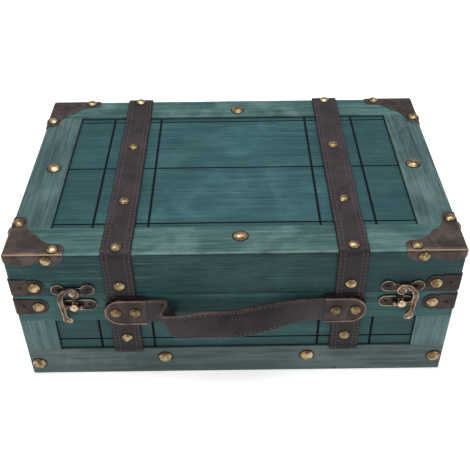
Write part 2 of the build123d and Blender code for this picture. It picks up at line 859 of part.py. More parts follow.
def latch_pin_seats(pins, out):
    """Pin seats for both latches. The right latch mirrors the left one."""
    left = [latch_places["left"] * Pos(x, y, out) for x, y in pins]
    return left + [latch_places["right"] * Pos(-x, y, out) for x, y in pins]


# Hinges, drawn on the rear face with the pin along local X

def hinge_half(sign, thirds):
    """One leaf with its own knuckles. The sign is 1 for the lid's leaf and -1 for the base's."""
    third = hinge_length / 3
    axis = Pos(0, 0, hinge_out)
    leaf = block((-hinge_length / 2, hinge_length / 2), sorted((0, sign * hinge_leaf)),
                 (knuckle_standoff, knuckle_standoff + hinge_metal))
    leaf = fillet(leaf.edges().filter_by(Axis.Z).group_by(Axis.Y)[0 if sign < 0 else -1], hinge_metal)
    knuckles = []
    for place in (-1, 0, 1):
        span = Pos(place * third, 0, 0)
        if place in thirds:
            knuckles.append(axis * span * Rot(0, 90, 0) * Cylinder(knuckle_radius, third - knuckle_gap))
        else:
            relief = Cylinder(knuckle_radius + knuckle_relief, third + knuckle_gap)
            leaf -= axis * span * Rot(0, 90, 0) * relief
    for knuckle in knuckles:
        leaf += knuckle
    bore = hinge_pin_radius + (running_clearance if sign > 0 else 0)
    leaf -= axis * Rot(0, 90, 0) * Cylinder(bore, 2 * hinge_length)
    seats = [Pos(side * hinge_screw_along, sign * hinge_screw_up, knuckle_standoff + hinge_metal)
             for side in (-1, 1)]
    return drill(leaf, seats, hinge_screw_length, hinge_screw_radius)


def hinge_pin():
    pin = Rot(0, 90, 0) * Cylinder(hinge_pin_radius, hinge_length)
    for side in (-1, 1):
        head = Rot(0, 90, 0) * Cylinder(hinge_pin_head, hinge_pin_head_height)
        pin += Pos(side * (hinge_length + hinge_pin_head_height) / 2, 0, 0) * head
    return Pos(0, 0, hinge_out) * pin


hinge_places = {"left": on("rear", hinge_offset, hinge_height),
                "right": on("rear", -hinge_offset, hinge_height)}


def hinge_screw_seats(sign):
    out = knuckle_standoff + hinge_metal
    return [place * Pos(side * hinge_screw_along, sign * hinge_screw_up, out)
            for place in hinge_places.values() for side in (-1, 1)]


def nails(seats, radius, head, length=shank_length, shank=shank_radius):
    nail = dome_nail(radius, head, length, shank)
    return [seat * nail for seat in seats]


# Assembly

nodes = {}


def add(name, piece):
    """Keep one piece, or a group of like pieces, under its node's name."""
    solids = []
    for one in piece if isinstance(piece, list) else [piece]:
        solids += one.solids()
    nodes[name] = solids[0] if len(solids) == 1 else Compound(children=solids)


lid_bracket_seats = bracket_seats(lid_bracket_height, bracket_lobe_along)
base_bracket_seats = bracket_seats(base_bracket_height, bracket_lobe_along)
lid_brad_seats = bracket_seats(lid_bracket_height, bracket_brad_along)
base_brad_seats = bracket_seats(base_bracket_height, bracket_brad_along)
pivot_seats = list(latch_places.values())
plate_pin_seats = latch_pin_seats(latch_plate_pins, latch_metal)
catch_pin_seats = latch_pin_seats([(x, -post_drop - lift) for x, lift in catch_pins], latch_metal)


def fix_base(piece):
    """Drill a base piece for every nail, screw and pin that reaches it."""
    piece = drill(piece, base_strap_seats() + rail_seats() + base_bracket_seats)
    piece = drill(piece, base_brad_seats, brad_shank)
    piece = drill(piece, handle_plate_seats, plate_nail_shank)
    piece = drill(piece, catch_pin_seats, pin_length, pin_radius)
    return drill(piece, hinge_screw_seats(-1), hinge_screw_length, hinge_screw_radius)


def fix_lid(piece):
    """Drill a lid piece for every nail, screw, pin and rivet that reaches it."""
    piece = drill(piece, lid_strap_seats() + frame_seats() + all_cap_seats + lid_bracket_seats)
    piece = drill(piece, lid_brad_seats, brad_shank)
    piece = drill(piece, plate_pin_seats, pin_length, pin_radius)
    piece = drill(piece, pivot_seats, pivot_depth, pivot_radius)
    return drill(piece, hinge_screw_seats(1), hinge_screw_length, hinge_screw_radius)


for side in ("front", "rear", "left", "right"):
    add("base_" + side + "_board", fix_base(base_board(side)))
    add("lid_" + side + "_board", fix_lid(lid_board(side)))
add("base_floor", base_floor())
add("base_upper_rails", [fix_base(rail) for rail in ring_of_rails(seam_height - upper_rail, seam_height)])
add("base_lower_rails", [fix_base(rail) for rail in ring_of_rails(0, lower_rail)])
add("base_stiles", base_stile_set())
add("lid_top_panel", fix_lid(lid_panel()))
for side, sign in (("front", -1), ("rear", 1)):
    add("lid_" + side + "_rail", fix_lid(lid_rail(sign)))
for side, sign in (("left", -1), ("right", 1)):
    add("lid_" + side + "_stile", fix_lid(lid_stile(sign)))
    add("lid_strap_" + side, fix_lid(Pos(sign * strap_centre, 0, 0) * lid_strap()))
    front_strap = Pos(sign * strap_centre, 0, 0) * base_strap()
    add("base_front_strap_" + side, fix_base(front_strap))
    add("base_rear_strap_" + side, fix_base(mirror(front_strap, Plane.XZ)))

cap = corner_cap()
for name, piece in zip(("front_left", "rear_left", "front_right", "rear_right"), four_corners(cap)):
    add("corner_plate_" + name, fix_lid(piece))
add("lid_corner_brackets", [fix_lid(one) for one in four_corners(corner_bracket(lid_bracket_height))])
add("base_corner_brackets", [fix_base(one) for one in four_corners(corner_bracket(base_bracket_height))])

add("corner_plate_nails", nails(all_cap_seats, strap_nail_radius, strap_nail_height))
add("lid_strap_nails", nails(lid_strap_seats(), strap_nail_radius, strap_nail_height))
add("base_strap_nails", nails(base_strap_seats(), strap_nail_radius, strap_nail_height))
add("lid_frame_nails", nails(frame_seats(), rail_nail_radius, rail_nail_height))
add("base_rail_nails", nails(rail_seats(), rail_nail_radius, rail_nail_height))
add("lid_bracket_nails", nails(lid_bracket_seats, bracket_nail_radius, bracket_nail_height)
    + nails(lid_brad_seats, brad_radius, brad_height, brad_shank))
add("base_bracket_nails", nails(base_bracket_seats, bracket_nail_radius, bracket_nail_height)
    + nails(base_brad_seats, brad_radius, brad_height, brad_shank))

plate = handle_plate()
ends = {"left": handle_end_left(), "right": handle_end_right()}
for side, piece in zip(("right", "left"), both_sides(plate)):
    add("handle_plate_" + side, drill(piece, handle_plate_seats, plate_nail_shank))
    add("handle_end_" + side, drill(ends[side], handle_plate_seats, plate_nail_shank))
add("handle_grip", handle_grip())
handle_nail_seats = [seat * Pos(0, 0, -plate_rim_height) for seat in handle_plate_seats]
add("handle_plate_nails", nails(handle_nail_seats, strap_nail_radius, strap_nail_height,
                                plate_nail_shank - plate_rim_height))

for side in ("left", "right"):
    add("latch_plate_" + side, latch_set(latch_plate())[side])
    add("latch_catch_" + side, latch_set(latch_catch())[side])
    add("hook_" + side, latch_set(hook())[side])
    add("hinge_leaf_base_" + side, hinge_places[side] * hinge_half(-1, (-1, 1)))
    add("hinge_leaf_lid_" + side, hinge_places[side] * hinge_half(1, (0,)))
add("latch_rivets", list(latch_set(latch_rivet()).values()))
add("latch_plate_pins", nails(plate_pin_seats, pin_head_radius, pin_head_height, pin_length, pin_radius))
add("latch_catch_pins", nails(catch_pin_seats, pin_head_radius, pin_head_height, pin_length, pin_radius))
add("hinge_pins", [place * hinge_pin() for place in hinge_places.values()])
for name, sign in (("base", -1), ("lid", 1)):
    add("hinge_screws_" + name, nails(hinge_screw_seats(sign), hinge_screw_head, hinge_screw_head_height,
                                      hinge_screw_length, hinge_screw_radius))

os.makedirs("parts", exist_ok=True)
for name, piece in nodes.items():
    export_step(piece, "parts/" + name + ".step")
print(len(nodes), "nodes")
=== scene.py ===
import json
import random
from math import cos, pi, radians, sin, tan

import bmesh
import bpy
from mathutils import Euler, Matrix, Vector


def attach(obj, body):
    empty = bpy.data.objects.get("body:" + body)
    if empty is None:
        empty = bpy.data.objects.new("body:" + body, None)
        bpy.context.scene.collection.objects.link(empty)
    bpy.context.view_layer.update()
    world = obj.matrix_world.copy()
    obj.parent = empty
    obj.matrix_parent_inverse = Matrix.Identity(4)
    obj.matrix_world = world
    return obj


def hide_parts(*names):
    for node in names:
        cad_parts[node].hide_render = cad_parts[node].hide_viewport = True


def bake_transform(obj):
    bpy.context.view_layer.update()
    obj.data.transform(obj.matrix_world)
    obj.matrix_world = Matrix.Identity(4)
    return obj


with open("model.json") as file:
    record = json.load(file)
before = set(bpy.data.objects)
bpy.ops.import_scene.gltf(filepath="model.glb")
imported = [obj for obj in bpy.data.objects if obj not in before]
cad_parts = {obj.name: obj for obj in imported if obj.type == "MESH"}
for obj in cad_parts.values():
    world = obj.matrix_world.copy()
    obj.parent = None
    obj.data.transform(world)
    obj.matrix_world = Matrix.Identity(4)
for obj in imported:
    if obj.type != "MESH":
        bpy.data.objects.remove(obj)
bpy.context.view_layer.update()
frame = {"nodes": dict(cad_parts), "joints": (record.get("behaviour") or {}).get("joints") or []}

# The looks of a wooden treasure chest box, in metres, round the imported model.
# X runs to the right, Y from the front to the hinged rear, Z up.

random.seed(7)

# Box sizes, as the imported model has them
MM = 0.001
half_width = 190 * MM
half_depth = 124 * MM
top = 147 * MM
seam = 100.4 * MM
lid_bottom = 100.8 * MM
wall = 10 * MM
recess = 1.6 * MM
top_round = 2.5 * MM
frame_width = 34 * MM
upper_rail = 30 * MM
lower_rail = 33 * MM
groove_columns = (73.55 * MM, 121.05 * MM)
groove_rows = (0, 83 * MM)
front_groove = 45 * MM
stile = 31 * MM

# Depths below the outer faces where their own finish starts, where the grain has turned, and where the
# finish is full
skin_start = 0.9 * MM
skin_turned = 0.7 * MM
skin_full = 0.4 * MM

# Where a finish starts and where it is full: below the lid's top for its upright faces, then for the bare
# wood inside, out from the walls' inner faces and below the lid's top
flank_drop = (1.2 * MM, 2.2 * MM)
inside_skin = (0.3 * MM, -0.2 * MM)
inside_drop = (6 * MM, 9 * MM)

# Dark lines painted on the wood as shade in the grooves and in the gap round each panel: how far each
# reaches, and the half width that is dark all over
column_line = (1.9 * MM, 0.5 * MM)
row_line = (1.5 * MM, 0.3 * MM)
border_line = (1.9 * MM, 0.6 * MM)

# Depths below a panel's face between which its lines fade out, and between which a cut turns dark
line_depths = (1.4 * MM, 1.0 * MM)
cut_depths = (0.1 * MM, 0.5 * MM)

# How far the painted shade reaches from a panel's border and from the straps
border_shade = 13 * MM
strap_shade = 27 * MM

# The dark line below the lid's top edge: the joint there, with painted shade in it
edge_line_drop = 2.1 * MM
edge_line_reach = 0.9 * MM

# How far wood and metal are worn from the box's edges
wood_worn = 2.6 * MM
metal_worn = 0.75 * MM

# Straps
strap_centre = 97.3 * MM
strap_half = 12.75 * MM
strap_thick = 2.5 * MM
strap_ramp = 4 * MM
strap_end = 31 * MM
strap_crown = 0.03
strap_sway = 0.12 * MM
strap_spacing = 2.2 * MM
lid_bend = top_round * 1.3
base_bend = 2 * MM
bend_steps = 5
cut_edge_share = 0.93

# Stitches: each one's length, half width and rise, and its swell at shares of its length
stitch_pitch = 4.2 * MM
stitch_inset = 1.9 * MM
stitch_gap = 3.4 * MM
strap_stitch = (3 * MM, 0.36 * MM, 0.3 * MM)
strap_stitch_lift = 0.95
handle_stitch = (3 * MM, 0.36 * MM, 0.36 * MM)
handle_stitch_lift = 0.97
handle_stitch_share = 0.82
stitch_swells = ((-0.5, 0.25), (-0.3, 0.9), (0.0, 1.0), (0.3, 0.9), (0.5, 0.25))
stitch_sides = 6

# Handle
handle_height = 85.5 * MM
handle_half = 12.25 * MM
handle_thin = 3.4 * MM
handle_thick = 4.6 * MM
handle_out = 4.2 * MM
plate_outer = 112.5 * MM
plate_inner = 76.5 * MM
band_inset = 6 * MM
worn_edge_share = 0.95
fold_start = 58 * MM
fold_radius = 2.6 * MM
fold_run = 6 * MM
fold_turn = radians(135)
fold_lean = radians(20)
fold_steps = 12
fold_run_steps = 4
fold_shoulder = 2 * handle_half * tan(fold_lean)
grip_right = 57 * MM
grip_right_out = 7 * MM
grip_right_rise = 1.2 * MM
grip_bulge = 2.5 * MM
grip_sag = 2.8 * MM
grip_tilt = radians(25)
grip_steps = 48
return_steps = 8

# Hooks, in front of the box and about their pivots
hook_back = 2 * MM
hook_lift = 2.4 * MM
hook_thin = 2.6 * MM
hook_thick = 3.2 * MM
hook_lift_start = 17 * MM
hook_lift_end = 23 * MM
curl_radius = 4.5 * MM
curl_start = -110
arm_start = 95
arm_end = 191
arm_radius = 12.5 * MM
tail_run = 16.8 * MM
tail_steps = 8
tip_radius = 4 * MM
tip_end = 252
spur_radius = 16.9 * MM
spur_root = 229
spur_end = 294
spur_half = 1.7 * MM
washer_inner = 1.9 * MM
washer_outer = 3.5 * MM
washer_rise = 0.8 * MM
washer_sides = 32
ball_radius = 3.5 * MM
ball_height = 1.5 * MM
ball_share = 0.94
rim_share = 0.6
curl_bright = 0.26
tip_bright = 0.86

# Domes: their profile as shares of radius and height, then what is particular to nails and brads
dome_profile = ((1.0, 0.0), (1.0, 0.09), (0.95, 0.15), (0.86, 0.2), (0.78, 0.44), (0.64, 0.69),
                (0.44, 0.87), (0.2, 0.98))
dome_sides = 28
rim_levels = 3
nail_dents = 0.05
nail_flare = 1.1
brad_limit = 3 * MM
brad_height = 0.5

# Softened edges
weld_reach = 0.002 * MM
bevel_steps = 2
bevel_angle = radians(38)

# Heights of the raised rims in front of the box
plate_ridge = 6.95 * MM
latch_ridge = 1.6 * MM
latch_crest = 6.2 * MM
ridge_blur = 0.25 * MM
crest_blur = 0.5 * MM

# Depths of the fine relief
wood_relief = 0.4 * MM
hide_relief = 0.3 * MM
metal_relief = 0.25 * MM


# Node trees

class Tree:
    """Builds one material's nodes. Values may be numbers, colours or sockets."""

    def __init__(self, name):
        self.material = bpy.data.materials.new(name)
        self.material.use_nodes = True
        self.nodes = self.material.node_tree.nodes
        self.links = self.material.node_tree.links
        self.shader = self.nodes["Principled BSDF"]
        self.place = self.nodes.new("ShaderNodeTexCoord").outputs["Object"]
        self.x, self.y, self.z = self.parts(self.place)

    def parts(self, vector):
        node = self.nodes.new("ShaderNodeSeparateXYZ")
        self.links.new(vector, node.inputs[0])
        return node.outputs

    def distance(self, axis):
        """How far a point is from the frame's origin along an axis."""
        return self.math("ABSOLUTE", {"X": self.x, "Y": self.y, "Z": self.z}[axis])

    def facing_up(self, low, high):
        """0 where a face looks further down than low says, 1 where it looks further up than high."""
        normal = self.nodes.new("ShaderNodeTexCoord").outputs["Normal"]
        return self.ease(self.parts(normal)[2], low, high)

    def feed(self, socket, value):
        if isinstance(value, bpy.types.NodeSocket):
            self.links.new(value, socket)
        else:
            socket.default_value = value

    def math(self, operation, first, second=0.0, third=0.0):
        node = self.nodes.new("ShaderNodeMath")
        node.operation = operation
        for socket, value in zip(node.inputs, (first, second, third)):
            self.feed(socket, value)
        return node.outputs[0]

    def ease(self, value, low, high):
        """0 below low, 1 above high, smooth between; high may be the smaller."""
        node = self.nodes.new("ShaderNodeMapRange")
        node.interpolation_type = "SMOOTHSTEP"
        self.feed(node.inputs["Value"], value)
        start, end, a, b = (low, high, 0.0, 1.0) if low < high else (high, low, 1.0, 0.0)
        for name, number in (("From Min", start), ("From Max", end), ("To Min", a), ("To Max", b)):
            node.inputs[name].default_value = number
        return node.outputs["Result"]

    def near(self, value, centre, reach, flat=0.0):
        """1 where a value is within flat of the centre, falling to 0 at the reach."""
        return self.ease(self.math("ABSOLUTE", self.math("SUBTRACT", value, centre)), reach, flat)

    def any_of(self, masks):
        result = masks[0]
        for mask in masks[1:]:
            result = self.math("MAXIMUM", result, mask)
        return result

    def both(self, first, second):
        return self.math("MULTIPLY", first, second)

    def stretched(self, scale, turn=(0, 0, 0)):
        node = self.nodes.new("ShaderNodeMapping")
        self.links.new(self.place, node.inputs["Vector"])
        node.inputs["Scale"].default_value = scale
        node.inputs["Rotation"].default_value = turn
        return node.outputs[0]

    def noise(self, scale, detail=5.0, roughness=0.55, distortion=0.0, shift=0.0, turn=(0, 0, 0)):
        """Noise at a scale per metre along X, Y and Z."""
        node = self.nodes.new("ShaderNodeTexNoise")
        node.noise_dimensions = "4D"
        self.links.new(self.stretched(scale, turn), node.inputs["Vector"])
        for name, number in (("Scale", 1.0), ("Detail", detail), ("Roughness", roughness),
                             ("Distortion", distortion), ("W", shift)):
            node.inputs[name].default_value = number
        return node.outputs["Fac"]

    def cells(self, scale):
        node = self.nodes.new("ShaderNodeTexVoronoi")
        self.links.new(self.place, node.inputs["Vector"])
        node.inputs["Scale"].default_value = scale
        return node.outputs["Distance"]

    def mix(self, amount, first, second):
        node = self.nodes.new("ShaderNodeMix")
        node.data_type = "RGBA"
        self.feed(node.inputs["Factor"], amount)
        self.feed(node.inputs["A"], first)
        self.feed(node.inputs["B"], second)
        return node.outputs["Result"]

    def bump(self, height, strength, distance):
        node = self.nodes.new("ShaderNodeBump")
        self.links.new(height, node.inputs["Height"])
        node.inputs["Strength"].default_value = strength
        node.inputs["Distance"].default_value = distance
        self.links.new(node.outputs[0], self.shader.inputs["Normal"])

    def scaled(self, value, low, high):
        """A 0 to 1 value spread from low to high."""
        return self.math("MULTIPLY_ADD", value, high - low, low)

    def folds(self, reach):
        """1 along the box's own outer edges."""
        near_x = self.ease(self.distance("X"), half_width - reach, half_width)
        near_y = self.ease(self.distance("Y"), half_depth - reach, half_depth)
        near_z = self.any_of([self.ease(self.z, top - reach, top), self.ease(self.z, reach, 0.0)])
        return self.any_of([self.both(near_x, near_y), self.both(near_x, near_z), self.both(near_y, near_z)])

    def turn_at_sides(self):
        """Swap X and Y on the left and right faces, so that grain along X runs along them there."""
        swapped = self.nodes.new("ShaderNodeCombineXYZ")
        for socket, value in zip(swapped.inputs, (self.y, self.x, self.z)):
            self.links.new(value, socket)
        node = self.nodes.new("ShaderNodeMix")
        node.data_type = "VECTOR"
        sides = self.ease(self.distance("X"), half_width - skin_start, half_width - skin_turned)
        self.feed(node.inputs["Factor"], sides)
        self.links.new(self.place, node.inputs[4])
        self.links.new(swapped.outputs[0], node.inputs[5])
        self.place = node.outputs[1]

    def flank(self):
        """1 on the upright outer faces of the lid, below its top edge."""
        beside = self.any_of([self.ease(self.distance("X"), half_width - skin_start, half_width - skin_full),
                              self.ease(self.distance("Y"), half_depth - skin_start, half_depth - skin_full)])
        return self.both(beside, self.ease(self.z, top - flank_drop[0], top - flank_drop[1]))

    def inside(self):
        """1 on the inner faces of the walls, below the top rails."""
        wide, deep = half_width - wall, half_depth - wall
        between = self.both(self.ease(self.distance("X"), wide + inside_skin[0], wide + inside_skin[1]),
                            self.ease(self.distance("Y"), deep + inside_skin[0], deep + inside_skin[1]))
        return self.both(between, self.ease(self.z, top - inside_drop[0], top - inside_drop[1]))

    def beyond(self, height, blur):
        """1 beyond a height in front of the box, falling to 0 a blur nearer to it."""
        return self.ease(self.math("MULTIPLY", self.y, -1.0), half_depth + height - blur, half_depth + height)


def colour(tone):
    """A colour from its three screen values, each from 0 to 255."""
    def linear(value):
        share = value / 255
        return share / 12.92 if share <= 0.04045 else ((share + 0.055) / 1.055) ** 2.4
    return (*[linear(value) for value in tone], 1.0)


# Materials

scuff_lean = radians(22)
pore_dark = colour((14, 24, 26))
speck_dark = colour((14, 20, 21))
# The colour of the dark lines: painted shade in grooves, gaps and joints
line_dark = colour((3, 10, 13))
raw_dark = colour((96, 74, 52))
raw_light = colour((139, 112, 82))


def along_grain(axis, coarse, fine):
    """Scales for noise stretched along one axis."""
    return tuple(coarse if name == axis else fine for name in "XYZ")


def stained(t, axis, tones, figure, streak, rub, shift, contrast):
    """The colour of stained wood: figure, clouds, streaks, pores, specks and worn edges."""
    base, light, dark = tones
    cloud = t.noise((19, 19, 19), 6, 0.62, 0.6, shift + 5)
    stain = t.noise((8, 8, 8), 4, 0.55, 0.4, shift + 8)
    pores = t.ease(t.noise(along_grain(axis, 34, 800), 2, 0.5, 0.0, shift + 1), 0.6, 0.68)
    specks = t.ease(t.noise((170, 170, 170), 2, 0.4, 0.0, shift + 2), 0.71, 0.77)
    worn = t.both(t.folds(wood_worn), t.ease(t.noise((60, 60, 60), 4, 0.6, 0, 2), 0.3, 0.6))
    body = dark
    for amount, tone in ((t.scaled(t.ease(figure, 0.36, 0.62), 1 - contrast, 1.0), base),
                         (t.both(t.ease(cloud, 0.44, 0.7), 0.4 * contrast), light),
                         (t.both(t.ease(stain, 0.5, 0.7), 0.45), dark),
                         (t.both(t.ease(streak, 0.52, 0.7), rub), light),
                         (t.both(t.ease(streak, 0.46, 0.32), 0.6 * contrast), dark),
                         (t.both(pores, 0.45), pore_dark),
                         (t.both(specks, 0.6), speck_dark),
                         (t.both(worn, 0.6), light)):
        body = t.mix(amount, body, tone)
    return body


def scratches(t, shift):
    """Long leaning scratches, in patches."""
    lines = t.noise((9, 9, 430), 3, 0.6, 0.2, shift + 6, (0, scuff_lean, 0))
    patches = t.noise((14, 14, 14), 2, 0.5, 0, shift + 7)
    return t.both(t.ease(lines, 0.57, 0.66), t.ease(patches, 0.45, 0.6))


def edge_joint_shade(t):
    """The broken dark line just under the lid's top edge: the joint there, with painted shade in it."""
    line = t.near(t.z, top - edge_line_drop, edge_line_reach)
    return t.both(t.both(line, t.ease(t.noise((90, 90, 90), 3), 0.3, 0.5)), 0.85)


def wood(name, axis, tones, rub, shift, lines=None, contrast=0.8, shaded_flank_tones=None,
         wraps=False, shade=None, scuffed=0.0):
    """Stained, rubbed wood with its grain along an axis. Tones are its middle, light and dark
    colours, here and on the lid's upright faces, which are darker partly with painted shade. Lines and
    shade are masks for painted shade, as dark lines in grooves, gaps and joints and as a broad darkening;
    wraps is for rails that run round the box, and scuffed says how bright its scratches are."""
    t = Tree(name)
    if wraps:
        t.turn_at_sides()
    tones = [colour(tone) for tone in tones]
    # Painted shade: the lid's upright faces take the darker tones
    if shaded_flank_tones:
        flank = t.flank()
        tones = [t.mix(flank, here, colour(there)) for here, there in zip(tones, shaded_flank_tones)]
    figure = t.noise(along_grain(axis, 8, 170), 8, 0.68, 0.5, shift)
    streak = t.noise(along_grain(axis, 16, 520), 6, 0.78, 0.5, shift + 9)
    fine = t.noise(along_grain(axis, 45, 1300), 3, 0.6, 0.0, shift + 3)
    body = stained(t, axis, tones, figure, streak, rub, shift, contrast)
    gloss = t.scaled(t.ease(streak, 0.3, 0.7), 0.68, 0.5)
    if scuffed:
        body = t.mix(t.both(scratches(t, shift), scuffed), body, tones[1])
    # Painted shade near the panel's border and beside the straps, and a darker tone beyond the straps
    if shade:
        body = t.mix(shade(t), body, tones[2])
    # Dark lines: painted shade in grooves, in the gaps round panels and in the joint under the lid's top edge
    if lines:
        lined = lines(t)
        body = t.mix(lined, body, line_dark)
        gloss = t.any_of([gloss, t.both(lined, 0.95)])
    raw = t.mix(t.ease(figure, 0.35, 0.7), raw_dark, raw_light)
    t.feed(t.shader.inputs["Base Color"], t.mix(t.inside(), body, raw))
    t.feed(t.shader.inputs["Roughness"], gloss)
    t.shader.inputs["Specular IOR Level"].default_value = 0.2
    relief = t.math("ADD", t.both(streak, 0.7), t.both(fine, 0.4))
    t.bump(t.math("ADD", t.both(figure, 0.6), relief), 0.4, wood_relief)
    return t.material


def near_border(t, border, *reach):
    """A mask for each edge of a panel, whose border gives the edges' distances along each axis."""
    return [t.near(t.distance(axis), edge, *reach) for axis, edges in border.items() for edge in edges]


def panel_lines(border, face_axis, level, rows, row_axis, columns=groove_columns):
    """A mask for painted shade: the dark line in the gap along a panel's border, and its incised lines,
    dark in the cut and darkened beside it."""
    def mask(t):
        out = t.distance(face_axis)
        face = t.ease(out, level - line_depths[0], level - line_depths[1])
        cut = t.ease(out, level - cut_depths[0], level - cut_depths[1])
        incised = [t.near(t.distance("X"), column, *column_line) for column in columns]
        incised += [t.near(t.distance(row_axis), row, *row_line) for row in rows]
        return t.any_of([t.both(t.any_of([cut, *incised]), face), *near_border(t, border, *border_line)])
    return mask


def panel_shade(border):
    """A mask for painted shade near a panel's border and beside the straps, and for a darker tone beyond the
    straps, varied by noise.
    """
    def mask(t):
        soft = near_border(t, border, border_shade)
        if "X" in border:
            along = t.distance("X")
            soft.append(t.near(along, strap_centre, strap_shade))
            soft.append(t.both(t.ease(along, strap_centre, strap_centre + strap_half), 0.75))
        return t.both(t.any_of(soft), t.scaled(t.noise((40, 40, 40), 4, 0.6), 0.3, 0.9))
    return mask


def leather(name, base, light, dark, gloss, pebble=900, upright=0.0):
    """Brown hide with clouded stain, fine pebbling and rubbed high spots. Upright says how much
    painted shade darkens its upright faces."""
    t = Tree(name)
    base, light, dark = colour(base), colour(light), colour(dark)
    cloud = t.noise((34, 34, 34), 5, 0.6, 0.4)
    fine = t.noise((420, 420, 420), 4, 0.6)
    skin = t.cells(pebble)
    body = t.mix(t.ease(cloud, 0.35, 0.7), dark, base)
    body = t.mix(t.both(t.ease(fine, 0.5, 0.75), 0.5), body, light)
    body = t.mix(t.both(t.ease(skin, 0.25, 0.05), 0.35), body, dark)
    # Painted shade: faces that do not look up are darkened towards the dark tone
    if upright:
        body = t.mix(t.scaled(t.facing_up(0.3, 0.8), upright, 0.0), body, dark)
    t.feed(t.shader.inputs["Base Color"], body)
    t.feed(t.shader.inputs["Roughness"], t.scaled(fine, gloss - 0.08, gloss + 0.16))
    t.shader.inputs["Specular IOR Level"].default_value = 0.28
    t.bump(t.math("ADD", t.both(skin, 0.6), t.both(fine, 0.8)), 0.35, hide_relief)
    return t.material


def metal(name, base, worn, dark, wear, rough, patches=0.3, ridge=None, fold=1.0,
          grain=70, dents=0.3, crest=None, shaded=False, golden=None):
    """Antiqued metal: dark in its hollows, rubbed bright on the box's edges, in patches and
    beyond a ridge's height in front of the box. A crest is a height and the colour beyond it.
    Shaded metal has painted shade on the faces that look down, and golden is the base at the right."""
    t = Tree(name)
    base, worn, dark = colour(base), colour(worn), colour(dark)
    if golden:
        base = t.mix(t.ease(t.x, -strap_centre, strap_centre), base, colour(golden))
    cloud = t.noise((grain, grain, grain), 5, 0.6, 0.5)
    fine = t.noise((620, 620, 620), 4, 0.65)
    body = t.mix(t.ease(cloud, 0.36, 0.66), dark, base)
    body = t.mix(t.both(t.ease(fine, 0.55, 0.75), 0.4), body, dark)
    spots = t.both(t.ease(t.noise((210, 210, 210), 3, 0.5), 0.5, 0.7), t.ease(cloud, 0.46, 0.66))
    rubbed = t.any_of([t.both(spots, patches), t.both(t.folds(metal_worn), fold)])
    if ridge:
        high = t.both(t.beyond(ridge, ridge_blur), t.scaled(t.ease(cloud, 0.38, 0.58), 0.3, 1.0))
        rubbed = t.any_of([rubbed, high])
    body = t.mix(t.both(rubbed, wear), body, worn)
    if crest:
        height, bright = crest
        far = t.both(t.beyond(height, crest_blur), t.scaled(t.ease(fine, 0.4, 0.6), 0.2, 0.85))
        body = t.mix(far, body, colour(bright))
    # Painted shade: faces that look down are darkened as if the overhead light missed them
    if shaded:
        body = t.mix(t.scaled(t.facing_up(-0.7, -0.05), 0.25, 1.0), dark, body)
    t.feed(t.shader.inputs["Base Color"], body)
    t.shader.inputs["Metallic"].default_value = 0.85
    t.feed(t.shader.inputs["Roughness"], t.scaled(fine, rough - 0.08, rough + 0.14))
    t.bump(t.math("ADD", cloud, t.both(fine, 0.5)), dents, metal_relief)
    return t.material


def thread(name, base, dark):
    """Waxed thread, a little dirty."""
    t = Tree(name)
    t.feed(t.shader.inputs["Base Color"], t.mix(t.noise((300, 300, 300), 3), colour(dark), colour(base)))
    t.shader.inputs["Roughness"].default_value = 0.7
    return t.material


def floor_paint():
    """A plain pale floor with the faintest mottling."""
    t = Tree("pale_floor")
    t.feed(t.shader.inputs["Base Color"],
           t.mix(t.noise((4, 4, 4)), (0.92, 0.92, 0.92, 1), (0.95, 0.95, 0.95, 1)))
    t.shader.inputs["Emission Color"].default_value = (1, 1, 1, 1)
    t.shader.inputs["Emission Strength"].default_value = 0.42
    t.shader.inputs["Roughness"].default_value = 0.6
    t.shader.inputs["Specular IOR Level"].default_value = 0.2
    return t.material


# Tones of wood: middle, light and dark
rail_tones = (60, 92, 91), (121, 152, 147), (31, 57, 57)
cross_tones = (62, 86, 86), (112, 132, 130), (32, 52, 53)
# The lid's upright faces: darker partly in their own stain, partly with painted shade, as the light falls
# from above
shaded_upright_tones = (24, 60, 60), (55, 91, 88), (15, 38, 40)
upper_tones = (42, 81, 81), (80, 114, 111), (21, 50, 51)
base_tones = (76, 91, 91), (118, 130, 129), (42, 60, 61)
stile_tones = (76, 104, 103), (120, 142, 138), (46, 70, 71)
panel_tones = (40, 78, 82), (78, 118, 119), (18, 50, 55)
side_tones = (37, 75, 77), (70, 108, 107), (17, 47, 50)
raw_tones = (118, 92, 64), (150, 124, 92), (84, 62, 42)

# Tones that several metals share
brass_worn = (186, 164, 128)
bronze_dark = (42, 35, 34)

# Borders of the recessed panels: the distances of their edges from the origin along each axis
top_border = {"X": (half_width - frame_width,), "Y": (half_depth - frame_width,)}
front_border = {"X": (half_width - stile,), "Z": (lower_rail, seam - upper_rail)}
side_border = {"Y": (half_depth - stile,), "Z": (lower_rail, seam - upper_rail)}

